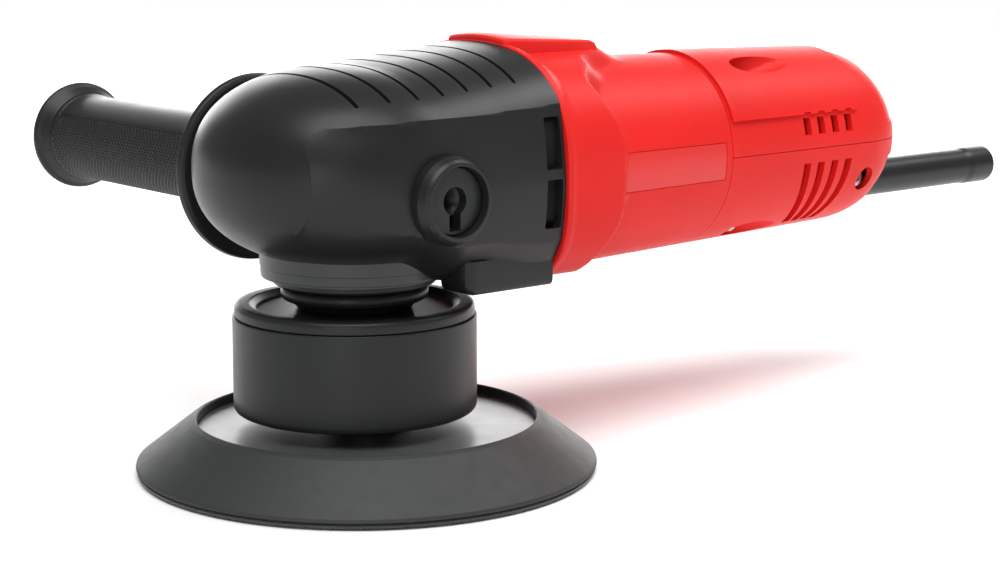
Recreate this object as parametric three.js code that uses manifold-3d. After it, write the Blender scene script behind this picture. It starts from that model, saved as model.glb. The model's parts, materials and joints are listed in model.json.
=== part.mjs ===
// A dual action polisher: a motor in line with the tool's body turns a bevel gear in the nose,
// and the vertical spindle below it swings a freely turning pad round a small orbit.
// Millimetres, +Z up. The origin is where the spindle's axis meets the pad's bottom face.
// +X runs back along the motor to the cord, and the side handle stands out along +Y.
import * as THREE from "three";
import { mergeVertices } from "three/addons/utils/BufferGeometryUtils.js";
import Module from "manifold-3d";

const wasm = await Module();
wasm.setup();

// ---- Driving dimensions ----
const GAP = 0.3; // clearance between neighbouring pieces
const WELD = 1e-4; // vertices closer than this are one vertex
const BIG_SIDES = 32; // facets round the large turned parts
const MID_SIDES = 20;
const SMALL_SIDES = 12;
const HIDDEN_SIDES = 16; // facets round the gear case inside its cover

const PAD_RADIUS = 76.2; // a 6 inch pad
const ORBIT_RADIUS = 4; // half of the 8 mm orbit
const ORBIT_TURN = THREE.MathUtils.degToRad(-55); // where the pad stands in its orbit at rest
const MOTOR_Z = 95; // height of the motor's axis above the pad face
const HANDLE_X = 2;
const HANDLE_Z = 94;

const HOOK_THICK = 1.2;
const PAD_TOP_RADIUS = 56.8;
const PAD_RIM_Z = 17.6;
const PLATE_TOP_Z = 14.8;
const PLATE_THICK = 3.2;
const PLATE_RADIUS = 55.6;
const STUD_RADIUS = 4; // 5/16 inch thread
const STUD_FLANGE_RADIUS = 12;

const DRUM_RADIUS = 40.2;
const DRUM_BOTTOM_Z = 19.8;
const DRUM_TOP_Z = 51.6;
const DRUM_WALL = 2.2;
const LID_RADIUS = 39.4;
const LID_TOP_Z = 55.8;
const HUB_RADIUS = 24;
const HUB_TOP_Z = 46;
const PAD_BEARING_RADIUS = 15.7;
const PAD_SPINDLE_RADIUS = 8;
const PAD_BEARING_TOP_Z = 40.4;

const SPINDLE_RADIUS = 6;
const SPINDLE_TOP_Z = 112;
const COLLAR_RADIUS = 24.3;
const COLLAR_Z = [57.4, 61.4];
const RETAINER_RADIUS = 26.8;
const FLANGE_RADIUS = 30.5; // the gear case's neck below the cover
const FLANGE_BOTTOM_Z = 64.9;
const BEARING_RADIUS = 17.5;
const BEARING_Z = [67.2, 78];

const RING_TEETH = 25;
const PINION_TEETH = 8;
const RING_PITCH_RADIUS = 27;
const TOOTH_LENGTH = 8;
const TOOTH_TOP = 0.8;
const TOOTH_ROOT = 1.7;
const TOOTH_FLANK = 0.4; // how much a tooth's half width grows per mm of depth
const BACKLASH = 0.55;

const NOSE_RADIUS = 52.2; // the nose is round about the spindle's axis, seen from above
const HOOD_HALF_WIDTH = [[0, NOSE_RADIUS], [50, 49.6]]; // x, before the cheeks are cut flat
const COVER_END_X = 50.4;
const COVER_WALL = 3;
const COVER_HALF_WIDTH = 47.5;
const COVER_MID_Z = 100;
const COVER_RISE = 33.4; // from the middle to the ridge, over the spindle
const RIDGE_SLOPE = 0.1;
const COVER_DROP = [[-5, 32], [12, 37], [24, 41.5], [50, 42.8]]; // x, from the middle to the belly
const COVER_POWER = 2.35; // superellipse power of the cover's section
const BOSS_RADIUS = 13.7;
const BOSS_FACE_Y = 53.4;
const BOSS_RECESS_RADIUS = 10.9;
const INSERT_FACE_Y = 50.4;
const KEYHOLE_RADIUS = 4.5;
const KEY_SLOT = { width: 4.4, drop: 9.4 };
const INSERT_SHANK_RADIUS = 8.2;
const INSERT_FLANGE_Y = COVER_HALF_WIDTH - 2.9; // the inner side of the insert's flange
const SOCKET_FLOOR_Y = 33; // the end of the blind hole that holds an insert's shank

const HOUSING_X = [50.8, 139.7];
const TAIL_X = 140.1;
const TAIL_DOME_X = 213;
const TAIL_END_X = 247;
const BARREL_RADIUS = 36.1; // at BARREL_X, narrowing towards the tail
const BARREL_X = 100;
const BARREL_TAPER = 0.0268;
const BARREL_WALL = 2.6;
const STATOR_RADIUS = 32.9;
const SHAFT_RADIUS = 4;

const SCREW_TURNS = [60, 120, 240, 300]; // degrees round the motor's axis
const SCREW_REACH = 30.8; // from the motor's axis to each tail screw
const SCREW_HEAD_X = 156.3;
const SCREW_SHANK = 1.9;
const SCREW_BORE = SCREW_SHANK + GAP;
const SIDE_SCREW = { x: 215.5, z: 81, headY: -23.4, bossY: -13 };

const RELIEF_Z = 75.2;
const RELIEF_RADIUS = 7.1;
const RELIEF_END_X = 324;
const CORD_RADIUS = 4;

const GUARD_RADIUS = 32.5;
const GUARD_Y = 59.3;
const GRIP_RADIUS = 15.7;
const GRIP_Y = [67, 176];
const GRIP_END_Y = 186;
const GRIP_END_RADIUS = 20.2;

// ---- Materials ----
function finish(color, roughness, metalness = 0) {
  return new THREE.MeshStandardMaterial({ color, roughness, metalness });
}
const RED = finish(0xe02a26, 0.4);
const BLACK_RUBBER = finish(0x2b2c2c, 0.6);
const BLACK_PLASTIC = finish(0x343636, 0.45);
const FOAM = finish(0x4a4d4d, 0.85);
const GREY_PLASTIC = finish(0x808282, 0.6);
const STEEL = finish(0x9a9c9e, 0.3, 0.9);
const CAST_ALUMINIUM = finish(0x8b8d8f, 0.5, 0.8);
const COPPER = finish(0xb3622c, 0.4, 0.8);
const BRASS = finish(0xb5933c, 0.35, 0.9);
const CARBON = finish(0x1d1d1f, 0.7);
const BOARD_GREEN = finish(0x2c5a3a, 0.6);

// ---- From geometry to solid and back ----
function solidOf(geometry) {
  const bare = new THREE.BufferGeometry();
  bare.setAttribute("position", geometry.getAttribute("position"));
  if (geometry.index) bare.setIndex(geometry.index);
  const merged = mergeVertices(bare, WELD);
  const corners = [];
  for (let i = 0; i < merged.index.count; i += 3) {
    const [a, b, c] = [0, 1, 2].map((k) => merged.index.getX(i + k));
    if (a !== b && b !== c && c !== a) corners.push([a, b, c]);
  }
  const build = (faces) =>
    new wasm.Manifold(
      new wasm.Mesh({
        numProp: 3,
        vertProperties: merged.getAttribute("position").array,
        triVerts: new Uint32Array(faces.flat()),
      }),
    );
  const solid = build(corners);
  return solid.volume() > 0 ? solid : build(corners.map((face) => face.toReversed()));
}

function geometryOf(solid) {
  const mesh = solid.getMesh();
  const geometry = new THREE.BufferGeometry();
  geometry.setAttribute("position", new THREE.BufferAttribute(mesh.vertProperties, 3));
  geometry.setIndex(new THREE.BufferAttribute(mesh.triVerts, 1));
  return geometry;
}

const join = (...solids) => solids.reduce((whole, next) => whole.add(next));
const cut = (solid, ...tools) => tools.reduce((left, tool) => left.subtract(tool), solid);

// ---- Shapes ----
// Turns a geometry made about +Y so that it is made about the named axis.
function along(axis, geometry) {
  if (axis === "z") geometry.rotateX(Math.PI / 2);
  if (axis === "x") geometry.rotateZ(-Math.PI / 2);
  return geometry;
}

// A profile of [radius, height] points turned about an axis that passes through `at`.
function turned(axis, profile, sides = MID_SIDES, at = [0, 0, 0]) {
  const points = profile.map(([radius, height]) => new THREE.Vector2(radius, height));
  return solidOf(along(axis, new THREE.LatheGeometry(points, sides)).translate(...at));
}

function rod(axis, radius, [low, high], sides, at) {
  return turned(axis, [[0, low], [radius, low], [radius, high], [0, high]], sides, at);
}

function tube(axis, inner, outer, [low, high], sides, at) {
  const profile = [[inner, low], [outer, low], [outer, high], [inner, high], [inner, low]];
  return turned(axis, profile, sides, at);
}

function box([x0, y0, z0], [x1, y1, z1]) {
  const geometry = new THREE.BoxGeometry(x1 - x0, y1 - y0, z1 - z0);
  return solidOf(geometry.translate((x0 + x1) / 2, (y0 + y1) / 2, (z0 + z1) / 2));
}

// A flat outline of [x, y] points, or a ready THREE.Shape, given a thickness along +Z from z0.
function slab(outline, [z0, z1], curveSegments = 12) {
  const isShape = outline instanceof THREE.Shape;
  const shape = isShape ? outline : new THREE.Shape(outline.map(([x, y]) => new THREE.Vector2(x, y)));
  const settings = { depth: z1 - z0, bevelEnabled: false, curveSegments };
  return new THREE.ExtrudeGeometry(shape, settings).translate(0, 0, z0);
}

// An outline in the XZ plane given a width along Y.
function sideSlab(outline, [y0, y1]) {
  return solidOf(slab(outline, [-y1, -y0]).rotateX(Math.PI / 2));
}

// Reads a value at x from a few [x, value] stations, with smooth steps between them.
function between(x, stations) {
  if (x <= stations[0][0]) return stations[0][1];
  for (let i = 1; i < stations.length; i++) {
    const [x0, v0] = stations[i - 1];
    const [x1, v1] = stations[i];
    if (x <= x1) return v0 + (v1 - v0) * THREE.MathUtils.smoothstep(x, x0, x1);
  }
  return stations.at(-1)[1];
}

// A body along X whose profile gives the share of the full section at each x, from 0 to 1,
// and whose section is a superellipse of the halfWidth, up, down, midZ and power at that x.
function shapedBody(profile, section, sides = BIG_SIDES) {
  const points = profile.map(([share, x]) => new THREE.Vector2(share, x));
  const geometry = along("x", new THREE.LatheGeometry(points, sides));
  const position = geometry.getAttribute("position");
  for (let i = 0; i < position.count; i++) {
    const [x, y, z] = [position.getX(i), position.getY(i), position.getZ(i)];
    const share = Math.hypot(y, z);
    const at = section(x);
    const fold = (v) => (share < WELD ? 0 : Math.sign(v) * share * Math.abs(v / share) ** (2 / at.power));
    const height = z > 0 ? at.up : at.down;
    position.setXYZ(i, x, at.halfWidth * fold(y), at.midZ + height * fold(z));
  }
  return solidOf(geometry);
}

// Points of a quarter of a superellipse that closes at x = tip and is full at x = full.
function closing(tip, full, steps, power) {
  return Array.from({ length: steps }, (_, i) => {
    const turn = (i / steps) * (Math.PI / 2);
    return [Math.sin(turn) ** (2 / power), full + (tip - full) * Math.cos(turn) ** (2 / power)];
  });
}

// ---- The outer form of the nose, shared by the rubber cover and the gear case in it ----
function coverSection(inset) {
  const radius = NOSE_RADIUS - inset;
  return (x) => {
    const ahead = Math.min(Math.max(-x, 0), radius);
    const share = (1 - (ahead / radius) ** COVER_POWER) ** (1 / COVER_POWER);
    return {
      halfWidth: x < 0 ? Math.sqrt(radius ** 2 - ahead ** 2) : between(x, HOOD_HALF_WIDTH) - inset,
      up: (COVER_RISE + RIDGE_SLOPE * Math.max(x, 0) - inset) * share,
      down: (between(x, COVER_DROP) - inset) * share,
      midZ: COVER_MID_Z,
      power: COVER_POWER,
    };
  };
}

function noseForm(inset, endX, steps = 6, sides = BIG_SIDES) {
  const radius = NOSE_RADIUS - inset;
  const nose = Array.from({ length: steps }, (_, i) => -radius * Math.cos(((i + 1) / steps) * (Math.PI / 2)));
  const stations = [...nose, 12, 24, endX];
  const profile = [[0, -radius], ...stations.map((x) => [1, x]), [0, endX]];
  const body = shapedBody(profile, coverSection(inset), sides);
  const half = COVER_HALF_WIDTH - inset;
  return body.intersect(box([-80, -half, 20], [80, half, 160]));
}

// ---- Pad, turning freely on the orbiting axis ----
const orbit = [ORBIT_RADIUS * Math.cos(ORBIT_TURN), ORBIT_RADIUS * Math.sin(ORBIT_TURN), 0];
const PLATE_BOTTOM_Z = PLATE_TOP_Z - PLATE_THICK;

function hookFace() {
  return rod("z", PAD_RADIUS - 0.4, [0, HOOK_THICK], BIG_SIDES, orbit);
}

function foamPad() {
  const low = HOOK_THICK + GAP;
  const floor = PLATE_BOTTOM_Z - GAP;
  const profile = [
    [0, low], [PAD_RADIUS - 0.6, low], [PAD_RADIUS, low + 0.8], [PAD_RADIUS - 0.3, low + 1.8],
    [PAD_TOP_RADIUS + 0.8, PAD_RIM_Z - 0.6], [PAD_TOP_RADIUS, PAD_RIM_Z],
    [PLATE_RADIUS + 0.4, PAD_RIM_Z - 0.4], [PLATE_RADIUS + 0.4, floor],
    [STUD_FLANGE_RADIUS + GAP, floor], [STUD_FLANGE_RADIUS + GAP, floor - 3], [0, floor - 3],
  ];
  return turned("z", profile, BIG_SIDES, orbit);
}

function backingPlate() {
  const hub = 15;
  const bore = STUD_RADIUS + GAP;
  const profile = [
    [bore, PLATE_BOTTOM_Z], [PLATE_RADIUS, PLATE_BOTTOM_Z], [PLATE_RADIUS, PLATE_TOP_Z],
    [hub, PLATE_TOP_Z], [hub - 1.5, PLATE_TOP_Z + 1.8], [bore, PLATE_TOP_Z + 1.8],
    [bore, PLATE_BOTTOM_Z],
  ];
  return turned("z", profile, BIG_SIDES, orbit);
}

function padStud() {
  const top = PLATE_BOTTOM_Z - GAP;
  const profile = [
    [0, top - 2.6], [STUD_FLANGE_RADIUS, top - 2.6], [STUD_FLANGE_RADIUS, top],
    [STUD_RADIUS, top], [STUD_RADIUS, 31], [STUD_RADIUS - 1, 32], [0, 32],
  ];
  return turned("z", profile, SMALL_SIDES, orbit);
}

function padSpindle() {
  const bore = STUD_RADIUS + GAP;
  const low = PLATE_TOP_Z + 1.8 + GAP;
  const profile = [
    [bore, low], [11, low], [11, 20.8], [PAD_SPINDLE_RADIUS, 20.8],
    [PAD_SPINDLE_RADIUS, PAD_BEARING_TOP_Z], [0, PAD_BEARING_TOP_Z], [0, 33], [bore, 33], [bore, low],
  ];
  return turned("z", profile, SMALL_SIDES, orbit);
}

// ---- Rotor: everything that the spindle carries round ----
function padBearing(range) {
  return tube("z", PAD_SPINDLE_RADIUS + GAP, PAD_BEARING_RADIUS, range, MID_SIDES, orbit);
}

function eccentricHub() {
  const block = rod("z", HUB_RADIUS, [21.4, HUB_TOP_Z], MID_SIDES);
  const seat = rod("z", PAD_BEARING_RADIUS + GAP, [20, PAD_BEARING_TOP_Z + 0.8], MID_SIDES, orbit);
  const spindleHole = rod("z", SPINDLE_RADIUS + GAP, [20, 60], SMALL_SIDES);
  return cut(block, seat, spindleHole);
}

function counterweight() {
  const [inner, outer] = [HUB_RADIUS + 1, DRUM_RADIUS - DRUM_WALL - 1];
  const shape = new THREE.Shape();
  const [from, to] = [-1.3, 1.3];
  shape.absarc(0, 0, outer, from, to, false);
  shape.absarc(0, 0, inner, to, from, true);
  const heavySide = ORBIT_TURN + Math.PI;
  return solidOf(slab(shape, [DRUM_BOTTOM_Z + 3, HUB_TOP_Z]).rotateZ(heavySide));
}

function drum() {
  const wall = DRUM_RADIUS - DRUM_WALL;
  const profile = [
    [HUB_RADIUS + 2, DRUM_BOTTOM_Z], [DRUM_RADIUS - 2, DRUM_BOTTOM_Z],
    [DRUM_RADIUS - 0.6, DRUM_BOTTOM_Z + 0.6], [DRUM_RADIUS, DRUM_BOTTOM_Z + 2],
    [DRUM_RADIUS, DRUM_TOP_Z], [wall, DRUM_TOP_Z], [wall, DRUM_BOTTOM_Z + 2],
    [HUB_RADIUS + 2, DRUM_BOTTOM_Z + 2], [HUB_RADIUS + 2, DRUM_BOTTOM_Z],
  ];
  return turned("z", profile, BIG_SIDES);
}

function drumLid() {
  const bore = SPINDLE_RADIUS + GAP;
  const low = DRUM_TOP_Z + GAP;
  const profile = [
    [bore, HUB_TOP_Z + GAP], [HUB_RADIUS, HUB_TOP_Z + GAP], [HUB_RADIUS, low], [LID_RADIUS, low],
    [LID_RADIUS, LID_TOP_Z - 2.4], [LID_RADIUS - 0.8, LID_TOP_Z - 0.7], [LID_RADIUS - 2.6, LID_TOP_Z],
    [LID_RADIUS - 5, LID_TOP_Z], [LID_RADIUS - 7, LID_TOP_Z - 2], [bore, LID_TOP_Z - 2],
    [bore, HUB_TOP_Z + GAP],
  ];
  return turned("z", profile, BIG_SIDES);
}

function spindleCollar() {
  const [low, high] = COLLAR_Z;
  const bore = SPINDLE_RADIUS + GAP;
  const profile = [
    [bore, LID_TOP_Z - 1.6], [COLLAR_RADIUS - 5, LID_TOP_Z - 1.6], [COLLAR_RADIUS - 2, low - 0.8],
    [COLLAR_RADIUS, low + 1.2], [COLLAR_RADIUS, high - 1.2], [COLLAR_RADIUS - 1.6, high],
    [bore, high], [bore, LID_TOP_Z - 1.6],
  ];
  return turned("z", profile, BIG_SIDES);
}

function spindle() {
  const profile = [
    [0, PAD_BEARING_TOP_Z + 1.4], [SPINDLE_RADIUS, PAD_BEARING_TOP_Z + 1.4],
    [SPINDLE_RADIUS, SPINDLE_TOP_Z - 1], [SPINDLE_RADIUS - 1, SPINDLE_TOP_Z], [0, SPINDLE_TOP_Z],
  ];
  return turned("z", profile, SMALL_SIDES);
}

// A straight bevel gear about +Z with its apex at the origin and its teeth facing +Z.
function bevelGear({ teeth, cone, boreRadius, backDepth, firstTurn }) {
  const outerReach = RING_PITCH_RADIUS / Math.sin(Math.atan(RING_TEETH / PINION_TEETH));
  const innerReach = outerReach - TOOTH_LENGTH;
  const pitch = (2 * Math.PI * RING_PITCH_RADIUS) / RING_TEETH;
  const half = (pitch / 2 - BACKLASH) / 2;
  const tooth = () => {
    const rootHalf = half + TOOTH_FLANK * TOOTH_ROOT;
    const topHalf = half - TOOTH_FLANK * TOOTH_TOP;
    const outline = [
      [-rootHalf, -TOOTH_ROOT - 0.6], [rootHalf, -TOOTH_ROOT - 0.6],
      [topHalf, TOOTH_TOP], [-topHalf, TOOTH_TOP],
    ];
    const geometry = slab(outline, [innerReach, outerReach]);
    const position = geometry.getAttribute("position");
    for (let i = 0; i < position.count; i++) {
      const share = position.getZ(i) / outerReach;
      position.setXY(i, position.getX(i) * share, position.getY(i) * share);
    }
    return geometry;
  };
  const rootAngle = cone - TOOTH_ROOT / outerReach;
  const at = (reach, depth = 0) => [
    reach * Math.sin(rootAngle) - depth * Math.sin(rootAngle - Math.PI / 2),
    -reach * Math.cos(rootAngle) - depth * Math.cos(rootAngle - Math.PI / 2),
  ];
  const [outer, inner] = [at(outerReach), at(innerReach)];
  const back = [outer[0], outer[1] - backDepth];
  const blank = turned("z", [
    [boreRadius, back[1]], back, outer, inner, [boreRadius, inner[1]], [boreRadius, back[1]],
  ], teeth > 20 ? teeth : 2 * teeth);
  const set = Array.from({ length: teeth }, (_, i) => {
    const geometry = tooth();
    geometry.rotateX(Math.PI - cone);
    geometry.rotateZ(firstTurn + (2 * Math.PI * i) / teeth);
    return solidOf(geometry);
  });
  return join(blank, ...set);
}

const pinionCone = Math.atan(PINION_TEETH / RING_TEETH);

function ringGear() {
  const gear = { teeth: RING_TEETH, cone: Math.PI / 2 - pinionCone, backDepth: 5.4 };
  const solid = bevelGear({ ...gear, boreRadius: SPINDLE_RADIUS + GAP, firstTurn: Math.PI / 2 });
  return solid.translate([0, 0, MOTOR_Z]);
}

// ---- Gear case and its rubber cover ----
function handleAxisRod(radius, [near, far], side) {
  return rod("y", radius, side < 0 ? [-far, -near] : [near, far], MID_SIDES, [HANDLE_X, 0, HANDLE_Z]);
}

function gearCase() {
  const inset = COVER_WALL + 0.6;
  const webX = 36;
  const floorZ = BEARING_Z[1] + 0.4;
  const outer = join(
    cut(
      noseForm(inset, COVER_END_X - GAP, 6, HIDDEN_SIDES),
      rod("z", FLANGE_RADIUS + 1, [40, FLANGE_BOTTOM_Z], MID_SIDES),
    ),
    rod("z", FLANGE_RADIUS, [FLANGE_BOTTOM_Z, 90], BIG_SIDES),
  );
  const cavity = cut(
    join(noseForm(inset + 3.6, webX, 4, HIDDEN_SIDES), rod("z", 28.4, [60, 94], HIDDEN_SIDES)),
    box([-80, -60, 20], [80, 60, floorZ]),
    rod("z", 13, [99, 140], MID_SIDES),
    handleAxisRod(INSERT_SHANK_RADIUS + 3.2, [SOCKET_FLOOR_Y - 2, 50], -1),
    handleAxisRod(INSERT_SHANK_RADIUS + 3.2, [SOCKET_FLOOR_Y - 2, 50], 1),
  );
  return cut(
    outer,
    cavity,
    rod("z", BEARING_RADIUS + GAP, [60, floorZ + 1], MID_SIDES),
    tube("z", BEARING_RADIUS, 24.2, [60, BEARING_Z[0] - 0.6], MID_SIDES),
    rod("z", 9.3, [90, 113], MID_SIDES),
    rod("x", 15.3, [37.5, 60], MID_SIDES, [0, 0, MOTOR_Z]),
    rod("x", 12, [30, 60], MID_SIDES, [0, 0, MOTOR_Z]),
    handleAxisRod(INSERT_SHANK_RADIUS + GAP, [SOCKET_FLOOR_Y, 60], -1),
    handleAxisRod(INSERT_SHANK_RADIUS + GAP, [SOCKET_FLOOR_Y, 60], 1),
  );
}

function coverBoss(side) {
  const profile = [
    [0, COVER_HALF_WIDTH - 6], [BOSS_RADIUS, COVER_HALF_WIDTH - 6], [BOSS_RADIUS, BOSS_FACE_Y - 1.4],
    [BOSS_RADIUS - 1.4, BOSS_FACE_Y], [0, BOSS_FACE_Y],
  ];
  const placed = profile.map(([radius, y]) => [radius, side * y]);
  return turned("y", placed, MID_SIDES, [HANDLE_X, 0, HANDLE_Z]);
}

function gearCover() {
  const outer = join(noseForm(0, COVER_END_X), coverBoss(-1), coverBoss(1));
  const vents = [-1, 1].flatMap((side) => [[80.5, 97], [100.5, 117]].map(([low, high]) => {
    const ys = side < 0 ? [-60, -43] : [43, 60];
    return box([43.5, ys[0], low], [48.6, ys[1], high]);
  }));
  return cut(
    outer,
    noseForm(COVER_WALL, 60),
    rod("z", FLANGE_RADIUS + GAP, [50, 90], BIG_SIDES),
    handleAxisRod(BOSS_RECESS_RADIUS, [30, 60], -1),
    handleAxisRod(BOSS_RECESS_RADIUS, [30, 60], 1),
    ...vents,
  );
}

// The threaded insert for the side handle: a shank in the gear case and a flange with a keyhole.
function bossInsert(side) {
  const flange = handleAxisRod(BOSS_RECESS_RADIUS - GAP, [INSERT_FLANGE_Y, INSERT_FACE_Y], side);
  const shank = handleAxisRod(INSERT_SHANK_RADIUS, [SOCKET_FLOOR_Y + GAP, INSERT_FLANGE_Y + 1], side);
  const half = KEY_SLOT.width / 2;
  const slotY = side < 0 ? [-60, -INSERT_FLANGE_Y] : [INSERT_FLANGE_Y, 60];
  return cut(
    join(flange, shank),
    handleAxisRod(STUD_RADIUS + GAP, [30, 60], side),
    handleAxisRod(KEYHOLE_RADIUS, [INSERT_FLANGE_Y, 60], side),
    box([HANDLE_X - half, slotY[0], HANDLE_Z - KEY_SLOT.drop], [HANDLE_X + half, slotY[1], HANDLE_Z]),
  );
}

function bearingRetainer() {
  const high = BEARING_Z[0] - 0.9;
  const profile = [
    [10, 62], [RETAINER_RADIUS, 62], [RETAINER_RADIUS, FLANGE_BOTTOM_Z - GAP], [23.9, FLANGE_BOTTOM_Z - GAP],
    [23.9, high], [10, high], [10, 62],
  ];
  return turned("z", profile, BIG_SIDES);
}

// ---- Side handle ----
function aboutHandle(profile, sides) {
  return turned("y", profile, sides, [HANDLE_X, 0, HANDLE_Z]);
}

function handleStud() {
  return aboutHandle([[0, 34], [STUD_RADIUS, 34], [STUD_RADIUS, 150], [0, 150]], SMALL_SIDES);
}

function handleGuard() {
  const bore = STUD_RADIUS + GAP;
  return aboutHandle([
    [bore, BOSS_FACE_Y + GAP], [12.5, BOSS_FACE_Y + GAP], [13.5, 56.5], [26, 58],
    [GUARD_RADIUS - 1.4, GUARD_Y - 1.6], [GUARD_RADIUS, GUARD_Y], [GUARD_RADIUS - 1.2, GUARD_Y + 1.8],
    [25, 61.8], [18.5, 63.6],
    [GRIP_RADIUS, GRIP_Y[0] - GAP], [bore, GRIP_Y[0] - GAP], [bore, BOSS_FACE_Y + GAP],
  ], BIG_SIDES);
}

function handleGrip() {
  const bore = STUD_RADIUS + GAP;
  const [low, high] = GRIP_Y;
  return aboutHandle([
    [bore, low], [GRIP_RADIUS, low], [GRIP_RADIUS, high - 8], [GRIP_RADIUS + 0.8, high],
    [bore, high], [bore, low],
  ], MID_SIDES);
}

function handleEndCap() {
  const low = GRIP_Y[1] + GAP;
  return aboutHandle([
    [0, low], [GRIP_RADIUS + 0.9, low], [GRIP_END_RADIUS - 1, low + 3.6], [GRIP_END_RADIUS, low + 5.4],
    [GRIP_END_RADIUS - 0.8, low + 7], [14, low + 9], [0, GRIP_END_Y],
  ], MID_SIDES);
}

// ---- Motor housing and tail ----
const barrelRadius = (x) => BARREL_RADIUS - BARREL_TAPER * (x - BARREL_X);

// A point on the axis of the tail screw at a turn round the motor.
function tailScrewAxis(degrees) {
  const turn = THREE.MathUtils.degToRad(degrees);
  return [0, SCREW_REACH * Math.cos(turn), MOTOR_Z + SCREW_REACH * Math.sin(turn)];
}

// Rods along X at the places of the tail screws, for their lugs, bores and pockets.
function atTailScrews(turns, radius, range) {
  return turns.map((degrees) => rod("x", radius, range, SMALL_SIDES, tailScrewAxis(degrees)));
}

function housingSection(x) {
  const radius = barrelRadius(x);
  return {
    halfWidth: between(x, [[66, COVER_HALF_WIDTH + 0.8], [84, radius]]),
    up: between(x, [[50, 43.8], [81, 42.4], [101, 41], [112, radius]]),
    down: between(x, [[50, 42], [88, 42.4], [104, radius]]),
    midZ: MOTOR_Z,
    power: between(x, [[60, COVER_POWER], [110, 2]]),
  };
}

function motorHousing() {
  const [front, back] = HOUSING_X;
  const stations = [front, 66, 71, 76, 80, 84, 90, 95, 100, 105, 112, back];
  const outer = shapedBody([[0, front], ...stations.map((x) => [1, x]), [0, back]], housingSection);
  const hollow = rod("x", STATOR_RADIUS + GAP, [front + 3, back + 5], BIG_SIDES, [0, 0, MOTOR_Z]);
  return cut(
    outer,
    cut(hollow, ...atTailScrews(SCREW_TURNS, 4.6, [130, back + 8])),
    ...atTailScrews(SCREW_TURNS, SCREW_BORE, [132, back + 5]),
    rod("x", 22, [front - 5, front + 5], MID_SIDES, [0, 0, MOTOR_Z]),
  );
}

function tailForm(inset, fromX) {
  const dome = closing(TAIL_END_X - inset, TAIL_DOME_X, 5, 2.3).reverse();
  const section = (x) => {
    const radius = barrelRadius(x) - inset;
    return { halfWidth: radius, up: radius, down: radius, midZ: MOTOR_Z, power: 2 };
  };
  return shapedBody([[0, fromX], [1, fromX], [1, TAIL_DOME_X], ...dome], section, MID_SIDES + 8);
}

const RELIEF_HOLE = rod("x", RELIEF_RADIUS + GAP, [225, 260], SMALL_SIDES, [0, 0, RELIEF_Z]);

const SIDE_SCREW_AT = [SIDE_SCREW.x, 0, SIDE_SCREW.z];
const POCKET = { radius: 5.4, x: [SCREW_HEAD_X - GAP, 170] };

// One half of the tail: a shell with lugs for the tail screws, open pockets for their heads and vents.
function tailShell(isUpper, vents) {
  const [low, high] = isUpper ? [MOTOR_Z + GAP / 2, 200] : [-10, MOTOR_Z - GAP / 2];
  const half = box([130, -60, low], [280, 60, high]);
  const turns = SCREW_TURNS.filter((degrees) => (degrees < 180) === isUpper);
  const full = tailForm(0, TAIL_X);
  const wall = cut(full, tailForm(BARREL_WALL, TAIL_X - 5));
  const lugs = atTailScrews(turns, POCKET.radius + 1.4, [TAIL_X, POCKET.x[1] + 1]);
  const solid = join(wall, join(...lugs).intersect(full)).intersect(half);
  const pockets = atTailScrews(turns, POCKET.radius, POCKET.x);
  return cut(solid, ...pockets, ...atTailScrews(turns, SCREW_BORE, [130, 160]), ...vents);
}

const VENTS = { count: 4, x: 178.6, pitch: 7.6, width: 3.8 };

function ventBoxes(lowZ, highZ) {
  return Array.from({ length: VENTS.count }, (_, i) => {
    const x = VENTS.x + VENTS.pitch * i;
    return box([x, -60, lowZ], [x + VENTS.width, -14, highZ]);
  });
}

function tailUpper() {
  const dialSlot = box([177, 20, 98.4], [203, 60, 104.8]);
  return tailShell(true, [...ventBoxes(100, 106.3), dialSlot]);
}

function tailLower() {
  const switchSlot = box([163, 20, 82], [187, 60, 89]);
  const shell = tailShell(false, [...ventBoxes(66, 90), switchSlot]);
  const boss = rod("y", 5, [-40, SIDE_SCREW.bossY], SMALL_SIDES, SIDE_SCREW_AT)
    .intersect(tailForm(0.4, TAIL_X));
  const recess = rod("y", 3.9, [-60, SIDE_SCREW.headY + GAP], SMALL_SIDES, SIDE_SCREW_AT);
  const bore = rod("y", SCREW_BORE, [-60, SIDE_SCREW.bossY + 1], SMALL_SIDES, SIDE_SCREW_AT);
  return cut(join(shell, boss), recess, bore, RELIEF_HOLE);
}

function tailTopPanel() {
  const region = box([143, -60, 108], [213, 60, 200]);
  const skin = cut(tailForm(-1.3, TAIL_X + 1), tailForm(-GAP, TAIL_X - 5)).intersect(region);
  return cut(skin, ...atTailScrews([60, 120], POCKET.radius + GAP, POCKET.x));
}

function strainRelief() {
  const bore = CORD_RADIUS;
  const bead = RELIEF_END_X;
  const profile = [
    [bore, 221], [RELIEF_RADIUS + 1.6, 221], [RELIEF_RADIUS + 1.6, 224], [RELIEF_RADIUS - 0.1, 224],
    [RELIEF_RADIUS, 246], [RELIEF_RADIUS - 0.2, bead - 16], [RELIEF_RADIUS + 0.3, bead - 12],
    [RELIEF_RADIUS + 0.3, bead - 4], [RELIEF_RADIUS - 1.6, bead], [bore, bead], [bore, 221],
  ];
  return turned("x", profile, MID_SIDES, [0, 0, RELIEF_Z]);
}

function cordClamp() {
  const arch = box([210, -12, RELIEF_Z + 1], [218, 12, RELIEF_Z + 7]);
  return cut(arch, rod("x", CORD_RADIUS, [206, 226], SMALL_SIDES, [0, 0, RELIEF_Z]));
}

// ---- Motor ----
function onShaft(profile, sides) {
  return turned("x", profile, sides, [0, 0, MOTOR_Z]);
}

function shaftRing(inner, outer, range, sides) {
  return tube("x", inner, outer, range, sides, [0, 0, MOTOR_Z]);
}

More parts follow.
